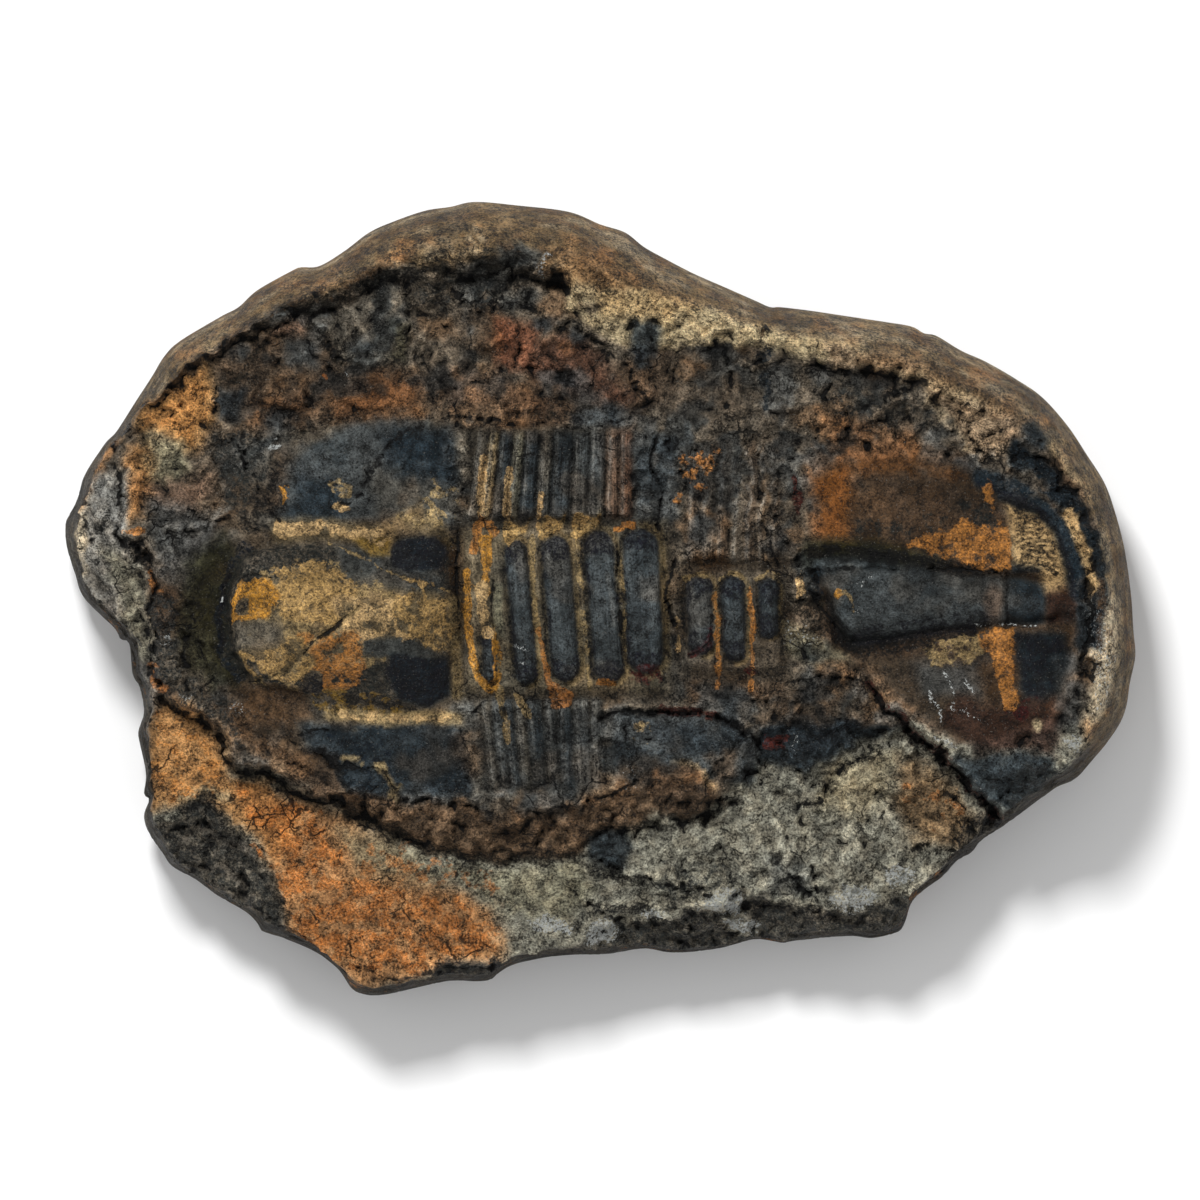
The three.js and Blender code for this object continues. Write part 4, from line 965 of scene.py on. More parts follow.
def paintCliff(p):
    # painted shadow: the black band under the rim's cliff, darkest below its middle, and the black notch
    # further right
    cliff = [(-53, 45), (-49, 47.8), (-45, 49.6), (-41, 50.6), (-37.5, 51.6), (-35, 53), (-31, 53.3),
             (-27, 54.8), (-22, 54.4), (-17, 53.9), (-16, 52), (-24, 52.2), (-30, 50.6), (-35, 49.2),
             (-40, 47.2), (-45, 45.6), (-51, 44.2)]
    p.area("shadowAndDarkRockBlack", cliff, 0.72, 0.9)
    p.spot("shadowAndStainBlack", (-34.5, 51.2), 4.4, 2.2, 0.9)
    p.area("navyGrey", [(-56, 44.6), (-50.5, 45), (-49.5, 48), (-55, 47.6)], 0.75)
    p.spot("rust", (-40, 52.6), 2.4, 0.9, 0.6, stain=True)
    p.area("pinkBrown", [(-52, 42), (-47, 42.3), (-46.6, 45), (-51, 44.6)], 0.8)
    p.area("shadowAndDarkRockBlack", [(-15, 50), (-5.4, 49.4), (-4.6, 51.6), (-10, 53), (-15, 52.6)], 0.95, 0.7)
    p.area("navyGrey", [(-16, 53), (-9.5, 53), (-8.5, 55.4), (-12, 57), (-17, 55.8)], 0.85, 0.8)
    # painted highlight: a pale streak on the brow above the notch
    p.line("scuff", [(-9.6, 52), (-8.6, 54.6)], 0.8, 0.7)
    p.line("rockBrown", [(-71, 33), (-64, 38), (-57, 43)], 1.4, 0.7)
    # painted shade in the deep crack at x = 26
    p.spot("shadowAndDarkRockBlack", (25.8, 45), 1.6, 3.0, 0.85)


def paintUpperRock(p):
    p.area("charcoal", [(-30, 56), (-16, 57), (-12, 46), (-31, 46)], 0.6, 1.5)
    p.area("rockBrown", [(-60, 42), (-46, 44), (-40, 38), (-52, 29), (-62, 33)], 0.7, 2)
    plate = [(-46.5, 45), (-41, 46.4), (-36, 48.6), (-31.3, 50), (-31.2, 44), (-31.8, 38), (-38, 37),
             (-42, 40), (-45, 43)]
    p.area("plateGrey", plate, 0.9, 0.7)
    p.area("olive", [(-34.4, 38), (-31.6, 38), (-31, 44.5), (-33.6, 44)], 0.6)
    # painted shade: black lines along the plate's edges and the small steps of the rock
    for edge in ([(-46.5, 45), (-45, 43), (-42, 40), (-38, 37), (-31.6, 38)], plateSide, bedEdge, redEdge,
                 [(-62, 27), (-60, 31), (-61, 34.6), (-56, 36), (-53, 41)],
                 [(-24, 30), (-19, 31.4), (-12, 30.6), (-6, 29.6), (0, 30.8)]):
        p.line("shadowAndDarkRockBlack", edge, 0.9, 0.85)
    p.area("rockGrey", [(-30, 47), (-18, 47), (-20, 38), (-30.6, 38)], 0.6, 1.5)
    p.area("orangeRed", [(-17, 45), (-10, 44), (-9, 37), (-16.5, 37.2)], 0.85, 1.2)
    p.area("redBrown", [(-10, 42), (-3, 42), (1, 37), (6, 32), (4, 30.5), (-4, 33), (-10, 36)], 0.9, 1.6)
    p.area("pinkBrown", [(-24, 37), (-16, 36), (-10, 33), (-6, 29.5), (-24, 30.5)], 0.55, 1.5)
    p.spot("navy", (-9.4, 44), 2.0, 1.2, 0.8)
    p.spot("navy", (-4, 42), 1.4, 1.2, 0.7)
    p.spot("navyGrey", (-13.4, 47.6), 3.4, 1.6, 0.6)
    cream = [(-5.2, 51.2), (0, 50), (6, 49.6), (14, 48.6), (24, 46), (32, 43.6), (38, 42), (52, 38),
             (62, 31), (64, 23), (58, 24), (50, 35), (36, 38.8), (20, 40.2), (8, 40.2), (2, 41.4),
             (-2.6, 43.8), (-5.4, 46)]
    p.area("cream", cream, 0.92, 0.8)
    p.area("creamOrange", [(-1, 49.6), (15, 49), (17, 46), (8, 44.6), (0, 45.4)], 0.75, 1.2)
    p.spot("rockGrey", (-2, 46.6), 1.4, 1.3, 0.7)
    p.area("creamPink", [(36, 41), (51, 37.4), (51, 35.4), (37, 38)], 0.8)
    p.area("creamPink", [(50, 34.8), (60, 31.5), (68, 30), (68, 24), (62, 21.6), (58, 25), (54, 31)], 0.85,
           1.2)
    p.area("navy", [(5.2, 44), (9, 44.4), (9.4, 38), (6, 37)], 0.85, 0.7)
    p.area("rockBrown", [(9, 40), (20, 40), (24, 34), (20, 27), (8, 31)], 0.5, 2)
    p.area("rockGrey", [(10, 39), (28, 39), (28, 22), (10, 27)], 0.5, 2.5)
    p.line("navyBlack", [(26.4, 43), (26.8, 36), (27.2, 28)], 1.0, 0.75)
    p.area("navy", [(-5, 30), (0, 30.4), (5, 28.6), (2, 26.6), (-4, 26.8)], 0.7)
    p.area("rockGrey", [(34, 36.6), (50, 34), (58, 26), (58, 23), (38, 24), (31, 26)], 0.85, 1.6)
    p.area("charcoal", [(36, 35.6), (50, 33), (56, 27), (48, 25.6), (37, 29)], 0.55, 1.6)
    p.spot("navy", (69.6, 26.4), 2.8, 2.6, 0.9)
    p.area("navy", [(64.6, 23.6), (70.6, 23), (71.4, 20.4), (65.4, 19.8)], 0.9, 0.7)
    p.area("tailOrange", [(34, 30), (42, 29), (51, 26), (50, 22.8), (36, 23.2)], 0.5, 2.2)
    p.line("darkRed", [(31.4, 14), (31.6, 19.4)], 0.6, 0.95)


def paintUpperLeft(p):
    p.area("rockGrey", [(-75, 22), (-62, 30), (-52, 28), (-54, 14), (-66, 12), (-75, 14)], 0.5, 2)
    patch = [(-74.2, 30), (-72, 34), (-67, 36.6), (-61.6, 37.6), (-61, 30), (-63.4, 24.6), (-66, 23.6),
             (-68, 26), (-73, 26)]
    p.area("greenGrey", patch, 0.8, 1)
    p.area("orange", patch, 0.78, 2.2)
    p.area("greenGrey", [(-73, 26), (-66, 25.6), (-65, 20.4), (-68, 18), (-73, 19)], 0.85, 1.2)
    p.area("pinkBrown", [(-74.4, 20), (-66, 18.6), (-62, 20), (-62, 17), (-67, 14), (-73.4, 14)], 0.7, 1.4)
    p.area("orange", [(-75, 24), (-72, 24.6), (-71, 20), (-72, 13.4), (-75, 13)], 0.6, 1.6)
    p.spot("orange", (-73.6, 10.4), 1.6, 1.0, 0.75, stain=True)
    p.area("navy", [(-61.4, 28.6), (-56.4, 29), (-56, 33.6), (-60.4, 34.4)], 0.75, 1)
    p.area("navyGrey", [(-51, 36), (-45, 36.4), (-45.4, 42), (-50.4, 41.4)], 0.8, 1)
    p.spot("charcoal", (-44, 34), 2.4, 2.2, 0.8)
    p.spot("redOrange", (-44, 36), 0.9, 0.8, 0.8, stain=True)
    p.area("charcoal", [(-62, 27), (-56, 27), (-50, 20), (-51, 12), (-57, 10), (-60, 18)], 0.7, 1.6)
    p.spot("shadowAndStainBlack", (-53, 13.6), 3.4, 3.0, 0.6)
    p.area("blueGrey", [(-72, 16), (-66, 15), (-62, 13), (-61, 5), (-66, 2), (-71, 4)], 0.7, 1.6)
    p.line("lightGrey", [(-64, 10), (-61.6, 12.4), (-59, 15)], 0.8, 0.6)


def paintLeftBlock(p):
    block = [(-87, 14), (-83, 17), (-80, 21), (-75.4, 21), (-74.6, 8), (-72, 1), (-71.8, -8), (-71, -14),
             (-73, -32), (-87, -30)]
    p.area("lightGrey", block, 0.7, 0.9)
    p.area("greenGrey", [(-79, 8), (-74.6, 6), (-72, 0), (-72, -10), (-75, -10), (-77, 0)], 0.6, 1.4)
    p.area("lightGrey", [(-80, 19.5), (-77, 20), (-75.2, 19), (-75.2, 8.5), (-77.5, 10.5), (-80, 13.5)],
           0.95, 0.5)
    p.area("rindCream", [(-86.4, 7), (-84, 5), (-82, 9), (-82.6, 12.6), (-85, 14)], 0.85, 0.7)
    p.line("charcoal", [(-83.6, 3), (-80, -2), (-77, -6)], 0.8, 0.6)
    # painted shade in the deep crack and in the gap between the blocks
    p.area("shadowAndStainBlack", [(-75.6, 6.4), (-72.4, 6.6), (-72.6, 9.4), (-75.4, 9)], 0.95, 0.5)
    p.line("shadowAndStainBlack", [(-73.5, 5.4), (-72, 3), (-70.4, 1), (-71.6, -2), (-71.4, -9), (-70.6, -14)], 0.75,
           0.85)
    p.area("rust", [(-72.4, 5), (-71, 3), (-69.9, 1.4), (-70.5, 0), (-72, 1)], 0.85, 0.3, stain=True)
    p.line("rust", [(-72, -11.4), (-71.2, -13), (-70.4, -14.6)], 0.8, 0.8, stain=True)
    p.area("charcoal", [(-71.6, 0), (-66, 2), (-65.4, -10), (-68, -19), (-71.4, -16)], 0.75, 1)
    p.spot("scuff", (-69.3, -6.4), 1.0, 0.9, 0.8)
    p.spot("scuff", (-67, -15.6), 1.4, 1.0, 0.6)
    p.spot("scuff", (-58, -17.4), 1.8, 1.4, 0.5)
    p.spot("scuff", (-61, 0), 0.5, 0.5, 0.9)


def paintGlabella(p):
    # painted shade in the deep furrow round the glabella's front: a dark olive band and a black crescent
    p.area("olive", [(-67, 6), (-60, 10), (-58, 8), (-60, 0), (-60, -8), (-57, -13), (-62, -14), (-67, -8)],
           0.85, 1.4)
    p.line("navyBlack", [(-56.4, 8), (-59, 4), (-60.6, -2), (-60, -7), (-57.4, -12)], 1.5, 0.9)
    p.area("charcoal", head["glabella"], 0.9, 1.2)
    p.area("dustyTan", [(-57, 1), (-50, 5), (-40, 5), (-24, 1), (-24, -8), (-36, -10), (-50, -13),
           (-57, -8)], 0.85, 1.6)
    p.area("tan", [(-58, -1), (-55, 3.6), (-50, 5.4), (-45, 6.4), (-40, 5.6), (-32, 1), (-24, 1), (-24, -8),
           (-31, -8.6), (-38, -12), (-47, -14.6), (-56, -12.6), (-58.4, -6)], 0.62, 1, stain=True)
    p.area("goldLight", [(-51, 4.6), (-44, 6), (-39, 2), (-42, -3.4), (-50, -2.6), (-52, 1)], 0.85, 1,
           stain=True)
    p.area("paleTan", [(-42, 0), (-30, -0.6), (-29, -6.6), (-40, -6)], 0.62, 1.2, stain=True)
    p.area("gold", [(-59.4, -4), (-58.6, 0), (-57.5, 2.4), (-55, 3.3), (-52, 2.6), (-51, 0.5), (-53, -2.6),
           (-57, -3)], 0.97, 0.4, stain=True)
    p.area("orange", [(-48, -6), (-39, -5.6), (-37.6, -13), (-42, -15.6), (-47, -14.4)], 0.74, 1, stain=True)
    p.area("goldLight", [(-57, -8), (-48, -6.4), (-46, -10), (-48, -12.6), (-55, -12)], 0.66, 0.9,
           stain=True)
    p.bare([(-59, -3.6), (-51, -3), (-50, -6.6), (-55, -8.4), (-59, -7.4)], 0.6)
    p.spot("plateGrey", (-54.5, -5.4), 4.4, 2.2, 0.9)
    p.spot("shadowAndStainBlack", (-56.8, -0.8), 1.0, 0.9, 0.9)
    p.bare([(-58, -2), (-55.7, -2.2), (-55.6, 0.4), (-57.6, 0.4)], 0.3)
    p.bare([(-47.6, -15), (-44.4, -15), (-44.2, -11.4), (-46.4, -11)], 0.4)
    p.spot("navyBlack", (-45.6, -13), 1.6, 1.8, 0.9)
    p.area("navyGrey", [(-42, 8.6), (-34, 8), (-25, 4), (-25, 1), (-34, 2), (-41, 2.4)], 0.75, 1)
    p.bare([(-42, 8.6), (-34, 8), (-25, 5), (-25, 2.4), (-34, 3), (-40.6, 3.4)], 0.9)
    p.area("navyGrey", [(-38, -6), (-30, -6), (-25, -9), (-34, -9.6), (-38, -8.6)], 0.85, 0.8)
    p.bare([(-38, -6.4), (-30, -6.6), (-25, -9.4), (-34, -9.4), (-37.6, -8.4)], 0.7)
    lobes = [[(-33.6, 9.6), (-33.2, 5.4), (-30, 4.6), (-25.4, 5), (-24.4, 8), (-26, 10.2)],
             [(-33.4, -8.8), (-24.4, -9.4), (-23.8, -15), (-27, -17.2), (-32, -16.2), (-34, -12)]]
    for lobe in lobes:
        p.area("navy", lobe, 0.95, 0.7)
        p.area("navyBlack", lobe, 0.95, 0.6)
        p.bare(lobe, 0.5)
    # painted shade under the lower lobe
    p.area("shadowAndStainBlack", [(-34, -16), (-28, -17.2), (-28, -18.6), (-34, -17.8)], 0.8, 0.5)
    for crack in ([(-43, 9), (-35, 5.2), (-32, 4), (-24, 1.4)], glabellaCrack):
        p.line("tan", crack, 0.28, 0.8, stain=True)
    p.area("rockBrown", [(-57, -13), (-48, -13.6), (-45, -19), (-52, -21), (-58, -17)], 0.85, 1.2)
    p.area("oliveGold", [(-46, -14.6), (-31, -14.8), (-31, -18.4), (-46, -18)], 0.6, 0.7, stain=True)
    # painted shade along the glabella's lower flank
    p.area("shadowAndStainBlack", [(-44, -15.4), (-35, -15.4), (-35, -17.2), (-44, -17)], 0.6, 0.8)
    upperBand = [(-51, 11), (-45, 11.4), (-40, 10.8), (-34, 10)]
    p.line("dustyTan", upperBand, 1.9, 0.9)
    p.line("paleTan", upperBand, 1.4, 0.8, stain=True)
    p.area("oliveGold", [(-40, 10), (-33.6, 10), (-33.4, 7), (-36.4, 6.8)], 0.8, 0.6)
    p.area("dustyTan", [(-36, 11), (-34, 12.6), (-30, 15.4), (-26, 13), (-22.6, 9.6), (-24, 8.4),
           (-26, 10.6)], 0.85, 1.1)
    p.line("tan", [(-43, -18.2), (-34, -18.8), (-28, -18.8), (-20, -19)], 1.3, 0.9)
    p.line("paleTan", [(-41, -18.5), (-34, -18.9), (-24, -18.9)], 0.8, 0.7, stain=True)
    p.line("tan", [(-23.4, 0), (-23, -8), (-22.6, -15)], 1.0, 0.8)
    p.spot("goldLight", (-28.4, -1.6), 3.8, 4.8, 0.6, stain=True)
    p.spot("goldLight", (-26, -6), 3.4, 2.6, 0.6, stain=True)


def paintCheeks(p):
    p.area("navyGrey", [(-51.6, 12.6), (-51.4, 18), (-48, 23.4), (-43, 27), (-38, 28.6), (-32, 28.4),
           (-24, 27.6), (-22.6, 12), (-32, 13)], 0.9, 1.3)
    p.area("navy", [(-50.4, 13.4), (-48, 19.4), (-43, 19.6), (-40, 15), (-42, 12.6)], 0.7, 1)
    p.area("plateGrey", [(-36, 21), (-30, 19.6), (-23, 18), (-23, 13), (-30, 16), (-36, 14)], 0.55, 1.5)
    p.area("navy", [(-34, 26), (-28, 27.6), (-22.6, 26.6), (-22, 19), (-27, 18.4), (-33, 21)], 0.85, 2)
    # painted shade in the crack across the cheek
    p.line("shadowAndDarkRockBlack", [(-29, 27.6), (-33, 25.5), (-35.5, 21), (-38.5, 17.6), (-40.4, 16), (-43, 15)], 0.6,
           0.8)
    p.line("shadowAndStainBlack", [(-51, 13), (-52.6, 17), (-51.6, 21)], 1.3, 0.7)
    p.spot("tan", (-41, 18), 1.8, 1.8, 0.62, stain=True)
    p.spot("paleTan", (-41, 15.4), 1.8, 0.8, 0.7, stain=True)
    p.line("gold", [(-51, 15), (-51, 17.4)], 0.5, 0.9, stain=True)
    p.area("tan", [(-36, 12), (-30, 15), (-26, 19), (-23, 18), (-23, 11)], 0.5, 1.6, stain=True)
    p.area("rockBrown", [(-53, 26.6), (-49, 27.6), (-40, 30), (-29, 29.6), (-29, 37), (-44, 37), (-54, 31)],
           0.75, 1.2)
    p.area("tailOrange", [(-43, 29.6), (-30, 29.4), (-29, 34), (-36, 36), (-42, 33)], 0.6, 2.6)
    p.area("tailOrange", [(-58, 27), (-49, 28.6), (-44, 33), (-55, 31)], 0.4, 2.4)
    p.spot("scuff", (-52, 24.6), 0.9, 0.7, 0.9)
    p.spot("scuff", (-40, 36.3), 0.6, 0.6, 0.8)
    p.area("navy", [(-48, -20), (-20, -20), (-19, -31.6), (-34, -31.8), (-46, -28)], 0.88, 1)
    p.area("navyBlack", [(-44, -21), (-34, -22), (-32, -30), (-38, -31), (-44, -28)], 0.5, 1.4)
    p.area("rockBrown", [(-49, -24.4), (-42, -24.6), (-41, -30), (-46, -30.6), (-50, -28)], 0.85, 0.8)
    p.line("shadowAndStainBlack", lowCheekEdge, 0.75, 0.9)
    p.line("tan", [(-40, -25), (-36, -25.5), (-33, -27.5), (-31.5, -29.5), (-32.5, -32)], 0.6, 0.85)
    p.area("rockBrown", [(-64, -14), (-57, -13), (-49, -20), (-48, -24), (-53, -26), (-60, -20)], 0.7, 1.4)
    p.area("charcoal", [(-68, -12), (-62, -12), (-57, -19), (-56, -25), (-62, -20), (-68, -17)], 0.7, 1.2)


def paintThorax(p):
    p.area("plateGrey", [(-23, 27), (-10, 27.6), (5, 28), (5, 12), (-22.6, 12)], 0.9, 0.8)
    p.area("navyGrey", [(-17, 26), (-10, 27), (0, 26), (0, 13), (-14, 13)], 0.75, 1.4)
    p.area("pinkBrown", [(0, 27), (5, 28), (5.6, 18), (4, 13), (0.8, 14)], 0.6, 0.9)
    p.area("plateGrey", [(-22, -16), (2, -16), (2.4, -31), (-20, -31.6)], 0.9, 0.8)
    p.area("navyGrey", [(-20, -19), (-4, -18), (0, -24), (-2, -31), (-19, -31)], 0.65, 1.4)
    p.area("rockGrey", [(9, 30), (28, 30), (29, 5), (9.6, 11)], 0.75, 1.2)
    p.area("blueGrey", [(5.4, 27), (12, 26), (12.6, 13), (9, 10), (5.4, 12)], 0.8, 1)
    p.area("rockGrey", [(9.5, 10), (13, 10), (13.4, -14), (9.6, -12)], 0.8, 0.8)
    p.area("rockBrown", [(13, -9), (29, -7), (30, -16), (14, -17)], 0.7, 1.2)
    bandTones = (
        ("plateGrey", "tan", "navy", "greenGrey", "navy", "plateGrey", "navy", "navyGrey", "blueGrey",
         "pinkBrown", "redBrown"),
        ("plateGrey", "navyGrey", "navy", "plateGrey", "navy", "navyGrey", "navy", "blueGrey", "navyGrey"),
        ("rockBrown", "rindShade", "rockBrown", "rockGrey", "rockBrown", "rindShade", "rockBrown"),
    )
    for (near, far, spread, edges, rise), tones in zip(thorax["pleurae"], bandTones):
        place = ribPlace(p.x, p.y, near, spread)
        out = (p.y - near) / (far - near)
        field = smoothStep(out, 0, 0.04) * (1 - smoothStep(out, 0.88, 1))
        field = field * (place > edges[0]) * (place < edges[-1])
        where = np.flatnonzero(field > 0)
        p.streak[where] = field[where]
        p.streakPlace[where] = place[where]
        for left, right, tone in zip(edges, edges[1:], tones):
            inBand = softWindow(place[where], left, right + 0.2, 0.5)
            p.lay(tone, where, 0.6 * inBand * field[where])
            # painted shade in the groove at each rib's edge, and a painted highlight on the rise just past it
            onEdge = np.clip(1 - np.abs(place[where] - right) / 0.55, 0, 1)
            p.lay("shadowAndDarkRockBlack", where, 0.45 * onEdge * field[where])
            besideEdge = np.clip(1 - np.abs(place[where] - left - 0.75) / 0.45, 0, 1)
            p.lay("lightGrey", where, 0.6 * besideEdge * field[where])
    for x, low, top, half in ((-19.0, 12, 22.6, 0.75), (-14.9, 12.4, 20.8, 0.7), (-9.8, 11.6, 16.8, 0.5)):
        p.line("paleTan", [(x, low), (x + 0.1, (low + top) / 2), (x + 0.5, top)], half, 0.95, stain=True)
    p.line("tan", [(-16.2, -14), (-15.4, -18), (-14.6, -22.4)], 0.7, 0.9, stain=True)
    p.line("tan", [(-13.2, -15), (-11.4, -18.6)], 0.75, 0.9, stain=True)
    # flats between the rings, then each ring's dark shell, darker towards both ends, with painted shade on
    # its flanks and painted highlights on its crown
    axisField = [(-22.2, 11.5), (10.6, 12.6), (10.8, -14.6), (-21.4, -15)]
    p.area("septumGrey", axisField, 0.85, 1.2)
    p.area("rockGrey", [(12.4, 5), (29.4, 5), (29.4, -12.6), (12.4, -13)], 0.8, 1.2)
    inAxis = (p.x > -22) & (p.x < 29.6) & (p.y > -15) & (p.y < 12.4)
    p.streak[inAxis] = np.maximum(p.streak[inAxis], 0.6)
    for ring in thorax["rings"]:
        centre, lean, half, top, bottom = ring
        where = p.nearby([(centre - half * 2, bottom - 1), (centre + half * 2, top + 1)], 1)
        x = p.x[where]
        y = p.y[where]
        reach = ringReach(ring, x, y)
        onRing = 1 - smoothStep(reach, 0.92, 1.1)
        toEnd = np.minimum(top - y, y - bottom)
        rightSide = smoothStep((x - centre - lean * y) / half, -0.3, 0.3)
        p.lay("navyGrey", where, onRing)
        p.lay("navyBlack", where, 0.93 * onRing * (1 - smoothStep(toEnd, 1.6, 5.5)))
        # painted shade on the ring's flanks, weaker on its right side
        p.lay("navyBlack", where, 0.7 * onRing * smoothStep(reach, 0.45, 1) * (1 - 0.4 * rightSide))
        # painted shade: a black line beside each ring's left flank; tan stain beside the right
        beside = smoothStep(reach, 0.98, 1.1) * (1 - smoothStep(reach, 1.3, 1.6))
        p.lay("tan", where, 0.6 * beside * rightSide)
        p.lay("shadowAndStainBlack", where, 0.75 * beside * (1 - rightSide) * (reach < 1.32))
    # painted highlights: a pale streak on one ring's right flank and lighter blue-grey on three crowns
    p.line("lightGrey", [(1.2, 4), (1.9, -1), (2.2, -4)], 0.4, 0.5)
    p.spot("blueGrey", (6.6, -0.6), 2.0, 4.4, 0.7)
    p.spot("blueGrey", (0.2, 0.4), 1.4, 3.4, 0.6)
    p.spot("blueGrey", (-7, 1), 1.8, 2.6, 0.7)
    # tan and orange stain along the grooves
    p.line("orange", [(-20, 8), (-19.5, 11.4), (-19, 12.4), (-17.6, 12.2), (-17, 10.8)], 0.9, 0.92,
           stain=True)
    p.line("gold", [(-18.2, 9.6), (-18, 5), (-18.2, 1)], 0.95, 0.97, stain=True)
    p.line("gold", [(-21.3, 4.4), (-21.2, -1), (-20.9, -5), (-20.4, -9), (-19.4, -12.6), (-17.6, -14.2),
           (-16.4, -12.6), (-16.3, -9), (-17.2, -5)], 0.75, 0.97, stain=True)
    p.line("paleTan", [(-18.9, 2), (-18.8, -2), (-18, -5.4)], 1.0, 0.95, stain=True)
    p.area("greenGrey", [(-17, 3), (-15.6, 2.4), (-15.4, -6), (-17, -5)], 0.9, 0.4)
    p.spot("shadowAndDarkRockBlack", (-18.4, -10.6), 1.3, 2.6, 0.9)
    p.line("tan", [(-10.7, 10), (-10.8, 3), (-10.4, -2), (-9.8, -5)], 0.55, 0.92, stain=True)
    p.line("orange", [(-9.8, -5), (-8.9, -9.6), (-8.2, -12)], 0.5, 0.95, stain=True)
    p.area("rust", [(-9, -10.6), (-7.6, -12.6), (-4, -15), (-4.6, -17), (-7.6, -17.4), (-8.4, -14)], 0.93,
           0.4, stain=True)
    p.line("tan", [(-3.6, 9), (-3.1, 2), (-2.6, -4), (-2.0, -9), (-1.6, -14)], 0.5, 0.62, stain=True)
    p.line("tan", [(2.6, 9), (3.4, 4), (3.8, -2), (4, -8)], 0.5, 0.55, stain=True)
    p.line("orange", [(0, -13.2), (2.4, -13.2)], 0.6, 0.9, stain=True)
    caps = ((-15.2, -11.2, 10.2, 12.4), (-9.6, -5.4, 10.8, 13.4), (-4.4, 0.2, 11.2, 13.8))
    for left, right, low, high in caps:
        cap = [(left, high - 0.4), (left + 1.2, high), (right - 1, high - 0.7), (right, high + 0.6),
               (right - 0.4, low + 0.4), (right - 1.4, low), (left + 0.8, low - 1.4), (left - 0.2, low - 1)]
        p.area("tan", cap, 0.85, 0.5)
        p.area("goldLight", cap, 0.9, 0.4, stain=True)
    p.line("orange", [(2.6, 11.2), (4, 12), (5.4, 11.8)], 0.7, 0.93, stain=True)
    p.spot("darkRed", (7.6, -12), 2.4, 1.6, 0.7)
    p.line("scuff", [(-14, -7), (-11.6, -8)], 0.34, 0.72)
    p.spot("scuff", (-12.4, -10), 1.0, 0.4, 0.7)
    # the three short rings by the tail
    for x, half in ((18.7, 0.6), (24.2, 0.55)):
        p.line("orange", [(x - 0.2, 2), (x, -4), (x, -9), (x + 0.1, -14)], half, 0.88, stain=True)
    for x in (15.4, 21, 26.8):
        p.line("tan", [(x - 1.8, 3.4), (x, 4.5), (x + 1.6, 3.8)], 0.5, 0.85, stain=True)
    p.line("paleTan", [(12.3, -3), (12.5, -8)], 0.5, 0.9, stain=True)
    p.line("darkRed", ringLine, 0.42, 0.95)
    p.spot("darkRed", (24, -11), 1.2, 0.9, 0.8)
    p.spot("orange", (15.6, 21), 3.0, 3.4, 0.5, stain=True)
    p.spot("orange", (12.6, 16.4), 1.2, 1.0, 0.5, stain=True)


